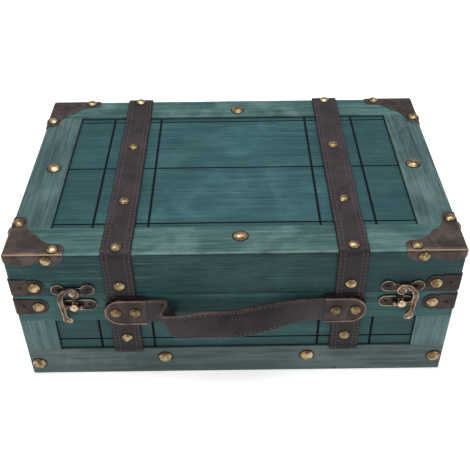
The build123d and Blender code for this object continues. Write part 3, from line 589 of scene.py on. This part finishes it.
materials = {
    "rail_x": wood("stained_rail_lengthwise", "X", rail_tones, 0.55, 0, edge_joint_shade, 0.9,
                   shaded_flank_tones=shaded_upright_tones),
    "rail_y": wood("stained_rail_crosswise", "Y", cross_tones, 0.45, 4, edge_joint_shade,
                   shaded_flank_tones=shaded_upright_tones),
    "base_x": wood("base_rail", "X", base_tones, 0.45, 8, wraps=True),
    "upper_x": wood("base_upper_rail", "X", upper_tones, 0.4, 40, contrast=0.75, wraps=True),
    "base_z": wood("base_stile_upright", "Z", stile_tones, 0.5, 12),
    "lid_front": wood("lid_front_stain", "X", shaded_upright_tones, 0.5, 16, scuffed=1.0),
    "side_board": wood("lid_side_stain", "Y", shaded_upright_tones, 0.4, 32, contrast=0.7),
    "top_panel": wood("top_panel_stain", "X", panel_tones, 0.4, 20,
                      panel_lines(top_border, "Z", top - recess, groove_rows, "Y"), 0.75,
                      shade=panel_shade(top_border)),
    "front_panel": wood("front_panel_stain", "X", side_tones, 0.35, 24,
                        panel_lines(front_border, "Y", half_depth - recess, (front_groove,), "Z"), 0.5,
                        shade=panel_shade(front_border)),
    "side_panel": wood("side_panel_stain", "Y", side_tones, 0.35, 28,
                       panel_lines(side_border, "X", half_width - recess, (front_groove,), "Z", ()), 0.5,
                       shade=panel_shade(side_border)),
    "raw": wood("raw_floor", "X", raw_tones, 0.3, 36),
    # The strap's upright faces are darkened with painted shade
    "strap": leather("strap_hide", (47, 38, 43), (72, 61, 67), (25, 18, 22), 0.58, upright=1.0),
    "handle": leather("handle_hide", (39, 31, 34), (64, 53, 55), (19, 14, 16), 0.54, 700),
    "cut_edge": leather("cut_hide_edge", (36, 25, 27), (64, 46, 46), (18, 12, 12), 0.6),
    "worn_edge": leather("worn_hide_edge", (84, 68, 62), (124, 104, 92), (44, 33, 31), 0.6),
    "thread": thread("strap_thread", (98, 80, 84), (48, 37, 39)),
    "nail": metal("nail_brass", (170, 148, 110), (240, 228, 204), (92, 72, 46),
                  0.75, 0.29, 0.85, grain=170, dents=0.14),
    "nail_dull": metal("nail_dull_brass", (140, 118, 84), (212, 194, 160), (70, 54, 36),
                       0.7, 0.33, 0.75, grain=170, dents=0.14),
    # Dark nail rims: patina with painted shade round their base; whole brads take it as painted shade of
    # their holes
    "nail_rim": metal("nail_patina_and_hole_shade", (44, 33, 22), (84, 68, 46), (20, 15, 11), 0.4, 0.5),
    # The pins are darkened as painted shade, to look like the dark holes they stand in
    "pin_dark": metal("pin_hole_shade", (26, 20, 19), (60, 48, 40), (12, 9, 9), 0.4, 0.5),
    "plate": metal("plate_bronze", (86, 75, 71), brass_worn, (58, 49, 47), 0.75, 0.5, 0.1),
    "plate_edge": metal("plate_rubbed_edges", (112, 98, 84), (170, 152, 124), (62, 53, 49),
                        0.6, 0.42, 0.6, grain=150),
    "bracket": metal("bracket_bronze", (64, 53, 49), brass_worn, bronze_dark, 0.6, 0.52, 0.1, fold=0.1),
    "handle_plate": metal("rimmed_plate_bronze", (62, 53, 51), (132, 110, 92), bronze_dark,
                          0.7, 0.42, 0.12, plate_ridge),
    "latch_plate": metal("latch_plate_bronze", (62, 52, 49), (160, 142, 118), (28, 22, 22),
                         0.75, 0.36, 0.2, latch_ridge, grain=120, crest=(latch_crest, (232, 198, 164))),
    "latch": metal("latch_bronze", (90, 70, 64), (206, 172, 146), (46, 35, 31), 0.7, 0.3, 0.6,
                   golden=(126, 100, 72)),
    # Pale rims of the hooks and rivets: partly rubbed wear, partly a painted highlight on their edges
    "latch_bright": metal("latch_rubbed_and_highlit_edges", (176, 156, 134), (250, 234, 210), (84, 70, 60),
                          0.85, 0.28, 0.75, grain=150, shaded=True),
    "hinge": metal("hinge_brass", (104, 86, 60), brass_worn, (72, 58, 40), 0.5, 0.42, 0.15, grain=200),
}


# Mesh helpers

def add_object(name, data):
    added = bpy.data.objects.new(name, data)
    bpy.context.scene.collection.objects.link(added)
    return added


def make_object(name, mesh_builder, body, slot, *finishes):
    """A new piece on a body: builds its mesh and gives it its finishes. The slot it is given is not used."""
    mesh = bpy.data.meshes.new(name)
    built = bmesh.new()
    mesh_builder(built)
    bmesh.ops.recalc_face_normals(built, faces=built.faces)
    built.to_mesh(mesh)
    built.free()
    piece = add_object(name, mesh)
    for finish in finishes:
        mesh.materials.append(materials[finish])
    for face in mesh.polygons:
        face.use_smooth = True
    if body:
        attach(piece, body)
    return piece


def bridge(built, first, second):
    """The faces between two closed rings of points."""
    turned = zip(first, first[1:] + first[:1], second[1:] + second[:1], second)
    return [built.faces.new(corners) for corners in turned]


def close_ends(built, rings):
    built.faces.new(rings[0])
    built.faces.new(list(reversed(rings[-1])))


def sweep(built, stations, section, edge_start, bright_ends=(0.0, 1.0)):
    """Sweep a closed section along stations of (origin, across, outward, thickness). What lies
    beyond edge_start across it takes the second finish, and so do its ends, before and after
    the shares given."""
    rings = []
    for origin, across, outward, thick in stations:
        rings.append([built.verts.new(origin + across * a + outward * (b * thick)) for a, b in section])
    middles = [abs(a + b) / 2 for (a, _), (b, _) in zip(section, section[1:] + section[:1])]
    for step, (first, second) in enumerate(zip(rings, rings[1:])):
        share = (step + 0.5) / (len(rings) - 1)
        at_end = not bright_ends[0] <= share <= bright_ends[1]
        for face, middle in zip(bridge(built, first, second), middles):
            face.material_index = int(at_end or middle > edge_start)
    close_ends(built, rings)


def mirrored(right):
    """A section's right half, from its edge to its middle, and then its left half."""
    return right + [(-a, b) for a, b in reversed(right[:-1])]


def strap_section():
    """The section of a strap: across in metres, out as a share of its thickness."""
    shares = [(1.0, 0.08), (1.0, 0.55), (0.985, 0.84), (0.945, 0.99), (0.87, 1.0), (0.82, 0.93), (0.77, 1.0),
              (0.4, 1.0 + strap_crown * 0.8), (0.0, 1.0 + strap_crown)]
    under = [(-0.94 * strap_half, 0.0), (0.94 * strap_half, 0.0)]
    return mirrored([(strap_half * a, b) for a, b in shares]) + under


def add_stitches(built, stations, offset, lift, size):
    """A row of short raised stitches along stations, at an offset across the band and at a
    share of its thickness."""
    travelled, due = 0.0, stitch_pitch / 2
    for (here, across, outward, thick), (there, *_) in zip(stations, stations[1:]):
        run = (there - here).length
        while run and travelled + run >= due:
            share = (due - travelled) / run
            middle = here.lerp(there, share) + across * offset + outward * (thick * lift)
            stitch(built, middle, (there - here).normalized(), across, outward, size)
            due += stitch_pitch
        travelled += run


def stitch(built, middle, forward, across, outward, size):
    """One stitch: a small bead that tapers to its ends."""
    length, half, rise = size
    angles = [2 * pi * turn / stitch_sides for turn in range(stitch_sides)]
    rings = []
    for share, swell in stitch_swells:
        centre = middle + forward * (length * share)
        rings.append([built.verts.new(centre + across * (half * swell * cos(angle))
                                      + outward * (rise * swell * sin(angle))) for angle in angles])
    for first, second in zip(rings, rings[1:]):
        bridge(built, first, second)
    close_ends(built, rings)


# Straps

def smooth_line(points, corner):
    """A polyline with each inner corner cut to a short curve of the given reach, less on a short run."""
    line = [points[0]]
    for before, here, after in zip(points, points[1:], points[2:]):
        back, ahead = before - here, after - here
        reach = min(corner, back.length / 2.2, ahead.length / 2.2)
        start, end = here + back.normalized() * reach, here + ahead.normalized() * reach
        for step in range(bend_steps + 1):
            share = step / bend_steps
            line.append(start.lerp(here, share).lerp(here.lerp(end, share), share))
    return line + [points[-1]]


def resample(line, spacing):
    """Points at an even spacing along a line."""
    even, left = [line[0]], spacing
    for here, there in zip(line, line[1:]):
        run = (there - here).length
        at = left
        while at < run:
            even.append(here.lerp(there, at / run))
            at += spacing
        left = at - run
    return even + [line[-1]]


def strap_stations(x, line):
    """Stations of a strap whose underside follows a line of (y, z) on the box, with a slight sway."""
    points = [Vector((x, p.x, p.y)) for p in line]
    stations = []
    for at, point in enumerate(points):
        ahead = points[min(at + 1, len(points) - 1)] - points[max(at - 1, 0)]
        outward = Vector((1, 0, 0)).cross(ahead).normalized()
        sway = strap_sway * sin(at * 0.23) + strap_sway * 0.6 * sin(at * 0.61 + 1)
        stations.append((point + Vector((sway, 0, 0)), Vector((1, 0, 0)), outward, strap_thick))
    return stations


def lid_strap_line():
    front, rear = -half_depth, half_depth
    inner = half_depth - frame_width
    sunk = top - recess
    points = [(front, lid_bottom), (front, top), (-inner, top), (-inner + strap_ramp, sunk),
              (inner - strap_ramp, sunk), (inner, top), (rear, top), (rear, lid_bottom)]
    return resample(smooth_line([Vector(p) for p in points], lid_bend), strap_spacing)


def base_strap_line(sign):
    face, sunk = sign * half_depth, sign * (half_depth - recess)
    points = [(face, seam), (face, seam - upper_rail), (sunk, seam - upper_rail - strap_ramp),
              (sunk, lower_rail + strap_ramp), (face, lower_rail), (face, strap_end)]
    if sign < 0:
        points.reverse()
    return resample(smooth_line([Vector(p) for p in points], base_bend), strap_spacing)


def leather_strap(name, line, x, body, node):
    stations = strap_stations(x, line)

    def hide(built):
        sweep(built, stations, strap_section(), strap_half * cut_edge_share)

    def rows(built):
        for inset in (stitch_inset, stitch_inset + stitch_gap):
            for sign in (-1, 1):
                add_stitches(built, stations, sign * (strap_half - inset), strap_stitch_lift, strap_stitch)
    piece = make_object(name, hide, body, "strap_leather", "strap", "cut_edge")
    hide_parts(node)
    make_object(name + "_stitches", rows, body, "strap_leather", "thread")


for side, x in (("left", -strap_centre), ("right", strap_centre)):
    leather_strap("strap_over_lid_" + side, lid_strap_line(), x, "lid", "lid_strap_" + side)
    leather_strap("strap_front_" + side, base_strap_line(-1), x, "base", "base_front_strap_" + side)
    leather_strap("strap_rear_" + side, base_strap_line(1), x, "base", "base_rear_strap_" + side)


# Handle

def place(x, out, drop):
    """A point before the front face: along, out from it, and down from the plates' height."""
    return Vector((x, -half_depth - out, handle_height - drop))


def slice_at(spot, heading, thick, tilt=0.0, rise=0.0, lean=0.0):
    """One station of the band: middle, edge direction, outward direction and thickness."""
    ahead = Vector((cos(heading) * cos(lean), -sin(heading), rise + cos(heading) * sin(lean))).normalized()
    stem = Vector((-sin(lean), 0, cos(lean)))
    upright = (stem - ahead * stem.dot(ahead)).normalized()
    upright = Matrix.Rotation(-tilt, 3, ahead) @ upright
    outward = ahead.cross(upright)
    return spot - outward * (thick / 2), upright / cos(lean), outward, thick


def fold_slices():
    """The left end of the band, back on itself and out again over two oblique creases."""
    x, out, drop, heading = -fold_start, handle_out, 0.0, 0.0
    slices = [slice_at(place(x, out, drop), heading, handle_thin, lean=fold_lean)]
    step = fold_turn / fold_steps
    for turn in [1] * fold_steps + [0] * fold_run_steps + [-1] * fold_steps:
        run = fold_run / fold_run_steps if turn == 0 else fold_radius * step
        heading += turn * step / 2
        x += run * (cos(heading) * cos(fold_lean) + sin(fold_lean) * tan(fold_lean))
        out += run * sin(heading)
        drop += run * sin(fold_lean) * (1 - cos(heading))
        heading += turn * step / 2
        slices.append(slice_at(place(x, out, drop), heading, handle_thin, lean=fold_lean))
    return slices, (x + fold_shoulder, out, drop)


def grip_slices(left, right, turn_out, rise):
    """The part between fold and right end, which bulges, sags and tilts in its middle."""
    length = right[0] - left[0]
    slices = []
    for count in range(grip_steps + 1):
        share = count / grip_steps
        swell, slope = sin(pi * share) ** 2, pi * sin(2 * pi * share) / length
        x, out, drop = [low + (high - low) * share for low, high in zip(left, right)]
        spot = place(x, out + grip_bulge * swell, drop + grip_sag * swell)
        thick = handle_thin + (handle_thick - handle_thin) * swell
        tilt = grip_tilt * sin(pi * share)
        slices.append(slice_at(spot, turn_out + grip_bulge * slope, thick, tilt, rise - grip_sag * slope))
    return slices


def return_slices(right, turn_out, rise):
    """The right end of the band, eased back into its plate."""
    length, retreat = plate_inner - right[0], handle_out - right[1]
    slices = []
    for count in range(1, return_steps + 1):
        share = count / return_steps
        ease, slope = 3 * share ** 2 - 2 * share ** 3, 6 * share * (1 - share)
        x, out, drop = right[0] + length * share, right[1] + retreat * ease, right[2] * (1 - ease)
        heading = turn_out * (1 - ease) + slope * retreat / length
        slices.append(slice_at(place(x, out, drop), heading, handle_thin, 0, rise * (1 - ease)))
    return slices


def handle_stations():
    """The whole band, from inside the left plate to inside the right one, and the grip's two ends."""
    folded, left = fold_slices()
    right = (grip_right, grip_right_out, -grip_right_rise)
    length = right[0] - left[0]
    turn_out, rise = (right[1] - left[1]) / length, (left[2] - right[2]) / length
    stations = [slice_at(place(x, handle_out, 0), 0, handle_thin)
                for x in (band_inset - plate_outer, -plate_inner, -fold_start - fold_shoulder)]
    stations += folded + grip_slices(left, right, turn_out, rise) + return_slices(right, turn_out, rise)
    stations.append(slice_at(place(plate_outer - band_inset, handle_out, 0), 0, handle_thin))
    return stations, place(*left), place(*right)


def handle_section():
    """Both faces of the band are stitched hide, rounded at the edges."""
    shares = [(0.93, 0.0), (0.985, 0.12), (1.0, 0.5), (0.985, 0.88), (0.93, 1.0), (0.86, 1.0), (0.82, 0.94),
              (0.78, 1.0), (0.4, 1.04), (0.0, 1.06)]
    return mirrored([(handle_half * a, b) for a, b in shares])


def make_handle():
    """Two halves that meet in the middle of the grip, each fixed at its plate and bending to the grip."""
    stations, left_end, right_end = handle_stations()
    middle = min(range(len(stations) // 2, len(stations)), key=lambda at: abs(stations[at][0].x))
    halves = {"left": (stations[:middle + 1], left_end, 1), "right": (stations[middle:], right_end, -1)}
    for side, (slices, end, inward) in halves.items():
        def hide(built):
            sweep(built, slices, handle_section(), handle_half * worn_edge_share)

        def rows(built):
            for share in (-handle_stitch_share, handle_stitch_share):
                add_stitches(built, slices, handle_half * share, handle_stitch_lift, handle_stitch)
        band = make_object("handle_band_" + side, hide, None, "handle_leather", "handle", "worn_edge")
        seams = make_object("handle_stitches_" + side, rows, None, "handle_leather", "thread")
        for piece in (band, seams):
            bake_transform(piece)
        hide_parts("handle_end_" + side, *(["handle_grip"] if side == "left" else []))


make_handle()


# Domes, for the nails and the hooks' fingertips

def dome(built, crown, outward, radius, height, dents, plain):
    """A dome with a thin rim, dented as if struck by hand. The rim takes the second finish, and a
    plain dome takes it all over."""
    side = outward.orthogonal().normalized()
    other = outward.cross(side)
    phase = random.random() * 2 * pi
    rings = []
    for share, rise in dome_profile:
        ring = []
        for turn in range(dome_sides):
            angle = 2 * pi * turn / dome_sides
            dent = 1 + dents * sin(angle * 3 + phase) * (1 - share) * 0.5
            reach = radius * share * (1 + dents * 0.25 * sin(angle * 5 + phase * 2))
            lift = min(height * (rise * dent - 1), 0)
            aside = (side * cos(angle) + other * sin(angle)) * min(reach, radius)
            ring.append(built.verts.new(crown + outward * lift + aside))
        rings.append(ring)
    for level, (first, second) in enumerate(zip(rings, rings[1:])):
        for face in bridge(built, first, second):
            face.material_index = int(plain or level < rim_levels)
    peak = built.verts.new(crown)
    last = rings[-1]
    for first, second in zip(last, last[1:] + last[:1]):
        built.faces.new((first, second, peak)).material_index = int(plain)
    built.faces.new(list(reversed(rings[0])))


# Hooks

# Half widths of the hook and of its spur, each at a share of its length, the share of its lift that the
# hook has at a distance from its pivot, and its section
hook_halves = ((0, 0.6 * MM), (0.08, 0.85 * MM), (0.24, 0.95 * MM), (0.48, 2.5 * MM), (0.65, 2.6 * MM),
               (0.85, 2.0 * MM), (0.93, 3.6 * MM), (0.97, 3.3 * MM), (1, 1.1 * MM))
spur_halves = ((0, 1.1 * MM), (0.3, spur_half), (0.62, 1.3 * MM), (0.8, 1.2 * MM), (0.92, spur_half),
               (1, 0.8 * MM))
hook_lifts = ((0, 0.0), (hook_lift_start, 0.0), (hook_lift_end, 1.0), (1, 1.0))
hook_section = mirrored([(1.0, 0.2), (1.0, 0.72), (0.9, 0.96), (0.74, 1.0), (0.58, 0.88), (0.3, 0.84),
                         (0.0, 0.83)]) + [(-0.9, 0.0), (0.9, 0.0)]


def arc_line(centre, radius, start, end, steps):
    """Points along an arc, each with the direction across the line there."""
    angles = [radians(start + (end - start) * step / steps) for step in range(steps + 1)]
    normals = [Vector((cos(angle), sin(angle))) for angle in angles]
    return [(centre + normal * radius, normal) for normal in normals]


def hook_line():
    """The middle line of a hook: the curl, the arm, the straight tail and the turned-in tip."""
    joint = Vector((cos(radians(arm_start)), sin(radians(arm_start))))
    line = arc_line(Vector((0, 0)), curl_radius, curl_start, arm_start, steps=16)
    line += arc_line(joint * (curl_radius - arm_radius), arm_radius, arm_start, arm_end, steps=18)[1:]
    bend, normal = line[-1]
    ahead = Vector((-normal.y, normal.x))
    line += [(bend + ahead * (tail_run * step / tail_steps), normal) for step in range(1, tail_steps + 1)]
    line += arc_line(line[-1][0] - normal * tip_radius, tip_radius, arm_end, tip_end, steps=10)[1:]
    return line


def value_at(pairs, share):
    """A value eased between listed shares."""
    for (low, first), (high, second) in zip(pairs, pairs[1:]):
        if share <= high:
            part = (share - low) / (high - low)
            return first + (second - first) * part * part * (3 - 2 * part)
    return pairs[-1][1]


def hook_stations(line, halves, pivot, mirror):
    """Stations for the sweep of a hook or spur; the tail is lifted clear of the bracket nails."""
    lengths = [0.0]
    for (here, _), (there, _) in zip(line, line[1:]):
        lengths.append(lengths[-1] + (there - here).length)
    stations = []
    for (spot, normal), length in zip(line, lengths):
        lifted = value_at(hook_lifts, spot.length)
        back = -half_depth - hook_back - hook_lift * lifted
        origin = Vector((pivot.x + mirror * spot.x, back, pivot.z + spot.y))
        across = Vector((mirror * normal.x, 0, normal.y)) * value_at(halves, length / lengths[-1])
        stations.append((origin, across, Vector((0, -1, 0)), hook_thin + (hook_thick - hook_thin) * lifted))
    return stations


def washer(built, pivot):
    """The ring that the curl stands on, round the rivet."""
    profile = ((washer_inner, 0.0), (washer_inner, washer_rise),
               (washer_outer, washer_rise), (washer_outer, 0.0))
    back = -half_depth - hook_back
    rings = []
    for turn in range(washer_sides):
        angle = 2 * pi * turn / washer_sides
        x, z = cos(angle), sin(angle)
        rings.append([built.verts.new((pivot.x + x * reach, back - out, pivot.z + z * reach))
                      for reach, out in profile])
    for first, second in zip(rings, rings[1:] + rings[:1]):
        bridge(built, first, second)


def make_hook(side, mirror):
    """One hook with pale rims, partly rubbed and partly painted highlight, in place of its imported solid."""
    joint = next(joint for joint in frame["joints"] if joint["name"] == "hook_" + side + "_pivot")
    pivot = Vector(joint["pos_m"])
    spur = arc_line(Vector((0, 0)), spur_radius, spur_root, spur_end, steps=14)

    def build(built):
        stations = hook_stations(hook_line(), hook_halves, pivot, mirror)
        spur_stations = hook_stations(spur, spur_halves, pivot, mirror)
        sweep(built, stations, hook_section, rim_share, (curl_bright, tip_bright))
        sweep(built, spur_stations, hook_section, rim_share, (0.0, tip_bright))
        washer(built, pivot)
        middle, _, outward, thick = stations[round(ball_share * (len(stations) - 1))]
        dome(built, middle + outward * thick, outward, ball_radius, ball_height, 0.0, True)
    piece = make_object("hook_dressed_" + side, build, "hook_" + side, "latch_bronze",
                        "latch", "latch_bright")
    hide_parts("hook_" + side)


make_hook("left", 1)
make_hook("right", -1)


# Nails

def loose_parts(mesh):
    """The separate solids of a node, each as a list of points."""
    links = {vertex.index: set() for vertex in mesh.vertices}
    points = {}
    for vertex in mesh.vertices:
        points.setdefault(tuple(round(c, 6) for c in vertex.co), []).append(vertex.index)
    for same in points.values():
        for index in same[1:]:
            links[same[0]].add(index)
            links[index].add(same[0])
    for edge in mesh.edges:
        first, second = edge.vertices
        links[first].add(second)
        links[second].add(first)
    seen, parts = set(), []
    for start in links:
        if start in seen:
            continue
        stack, part = [start], []
        seen.add(start)
        while stack:
            index = stack.pop()
            part.append(mesh.vertices[index].co.copy())
            for other in links[index] - seen:
                seen.add(other)
                stack.append(other)
        parts.append(part)
    return parts


def nail_place(part):
    """Crown, outward direction and head radius of one nail, from its solid."""
    low = Vector([min(p[i] for p in part) for i in range(3)])
    high = Vector([max(p[i] for p in part) for i in range(3)])
    centre = (low + high) / 2
    mean = sum(part, Vector()) / len(part)
    lean = mean - centre
    axis = max(range(3), key=lambda i: abs(lean[i]))
    outward = Vector((0, 0, 0))
    outward[axis] = 1 if lean[axis] > 0 else -1
    crown = centre.copy()
    crown[axis] = high[axis] if lean[axis] > 0 else low[axis]
    radius = max((high - low)[i] for i in range(3) if i != axis) / 2
    return crown, outward, radius


def nail_heads(node, body, height_share, finish="nail"):
    """Detailed heads in place of a node's nails. Small brads in the node keep their flatter shape."""
    parts = loose_parts(frame["nodes"][node].data)

    def build(built):
        for part in parts:
            crown, outward, radius = nail_place(part)
            small = radius < brad_limit
            share = brad_height if small else height_share
            reach = radius if small else radius * nail_flare
            # Brads are dark all over: painted shade of the holes they stand in
            dome(built, crown, outward, reach, radius * share, nail_dents, small)
    piece = make_object(node + "_heads", build, body, "nail_brass", finish, "nail_rim")
    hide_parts(node)


for node, body, share in (("lid_strap_nails", "lid", 0.53), ("corner_plate_nails", "lid", 0.53),
                          ("lid_frame_nails", "lid", 0.5), ("lid_bracket_nails", "lid", 0.51),
                          ("base_strap_nails", "base", 0.53), ("base_rail_nails", "base", 0.5),
                          ("base_bracket_nails", "base", 0.51)):
    nail_heads(node, body, share)
nail_heads("handle_plate_nails", "base", 0.53, "nail_dull")


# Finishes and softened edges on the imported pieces

def dress(node, finish, soften=0.0, edge_finish=None):
    """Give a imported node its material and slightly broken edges, with a finish of their own if given."""
    piece = frame["nodes"][node]
    if piece.material_slots:
        for slot in piece.material_slots:
            slot.material = materials[finish]
    else:
        piece.data.materials.append(materials[finish])
    if soften:
        piece.modifiers.new("joined_faces", "WELD").merge_threshold = weld_reach
        bevel = piece.modifiers.new("broken_edges", "BEVEL")
        bevel.width = soften
        bevel.segments = bevel_steps
        bevel.limit_method = "ANGLE"
        bevel.angle_limit = bevel_angle
        bevel.harden_normals = True
        if edge_finish:
            piece.data.materials.append(materials[edge_finish])
            bevel.material = len(piece.data.materials) - 1
            bevel.use_clamp_overlap = False
            bevel.loop_slide = False


# Finish, softened edge in millimetres, and the nodes that take them
dressings = (
    ("rail_x", 0.5, "lid_front_rail lid_rear_rail"),
    ("rail_y", 0.5, "lid_left_stile lid_right_stile"),
    ("lid_front", 0.0, "lid_front_board lid_rear_board"),
    ("side_board", 0.0, "lid_left_board lid_right_board"),
    ("top_panel", 0.0, "lid_top_panel"),
    ("front_panel", 0.0, "base_front_board base_rear_board"),
    ("side_panel", 0.0, "base_left_board base_right_board"),
    ("raw", 0.0, "base_floor"),
    ("upper_x", 0.4, "base_upper_rails"),
    ("base_x", 0.4, "base_lower_rails"),
    ("base_z", 0.4, "base_stiles"),
    ("bracket", 0.3, "lid_corner_brackets base_corner_brackets"),
    ("handle_plate", 0.35, "handle_plate_left handle_plate_right"),
    ("latch_plate", 0.2, "latch_plate_left latch_plate_right latch_catch_left latch_catch_right"),
    ("latch_bright", 0.2, "latch_rivets"),
    ("pin_dark", 0.0, "latch_plate_pins latch_catch_pins"),
    ("hinge", 0.15, "hinge_leaf_base_left hinge_leaf_base_right hinge_leaf_lid_left hinge_leaf_lid_right"),
    ("hinge", 0.0, "hinge_pins hinge_screws_base hinge_screws_lid"),
)
for finish, soften, nodes in dressings:
    for node in nodes.split():
        dress(node, finish, soften * MM)
for end in ("front", "rear"):
    for side in ("left", "right"):
        dress("corner_plate_" + end + "_" + side, "plate", 0.25 * MM, "plate_edge")


# Floor, light and camera

floor_reach = 40.0
world_strength = 0.5

# Name, place, aim, size and power of each light
lights = (
    ("overhead", (0.0, 0.0, 1.4), (0, 0, 0.1), (1.6, 0.9), 21.5),
    ("front_left", (-0.9, -1.2, 0.9), (0, 0, 0.08), (0.7, 0.7), 2.0),
    ("front_right", (1.0, -1.0, 0.7), (0, 0, 0.08), (0.6, 0.6), 1.45),
)


def lay_floor():
    """A floor that reaches past the picture on all sides."""
    mesh = bpy.data.meshes.new("floor")
    corners = [(x * floor_reach, y * floor_reach, 0) for x, y in ((-1, -1), (1, -1), (1, 1), (-1, 1))]
    mesh.from_pydata(corners, [], [(0, 1, 2, 3)])
    mesh.materials.append(floor_paint())
    floor = add_object("floor", mesh)


def area_light(name, spot, target, size, power):
    light = bpy.data.lights.new(name, "AREA")
    light.shape = "RECTANGLE"
    light.size, light.size_y = size
    light.energy = power
    holder = add_object(name, light)
    holder.location = spot
    aim = Vector(target) - Vector(spot)
    holder.rotation_euler = aim.to_track_quat("-Z", "Y").to_euler()


def light_studio():
    bpy.context.scene.view_settings.view_transform = "Standard"
    world = bpy.data.worlds.new("studio")
    world.use_nodes = True
    background = world.node_tree.nodes["Background"]
    background.inputs["Color"].default_value = (1, 1, 1, 1)
    background.inputs["Strength"].default_value = world_strength
    bpy.context.scene.world = world
    for light in lights:
        area_light(*light)


def set_camera():
    """The photograph's camera, solved from the box's corners."""
    picture = 470
    focal_pixels = 738.44
    turns = [radians(angle) for angle in (39.757, 0.1113, 0.7325)]
    spot = Vector((-0.9, -576.1, 541.7)) * MM
    upright = Matrix(((1, 0, 0), (0, 0, 1), (0, -1, 0)))
    into_camera = Euler(turns, "XYZ").to_matrix() @ upright
    lens = bpy.data.cameras.new("camera")
    lens.sensor_width = 36
    lens.lens = lens.sensor_width * focal_pixels / picture
    lens.clip_start = 0.01
    holder = add_object("camera", lens)
    holder.matrix_world = Matrix.Translation(spot) @ into_camera.transposed().to_4x4()
    bpy.context.scene.camera = holder


lay_floor()
light_studio()
set_camera()
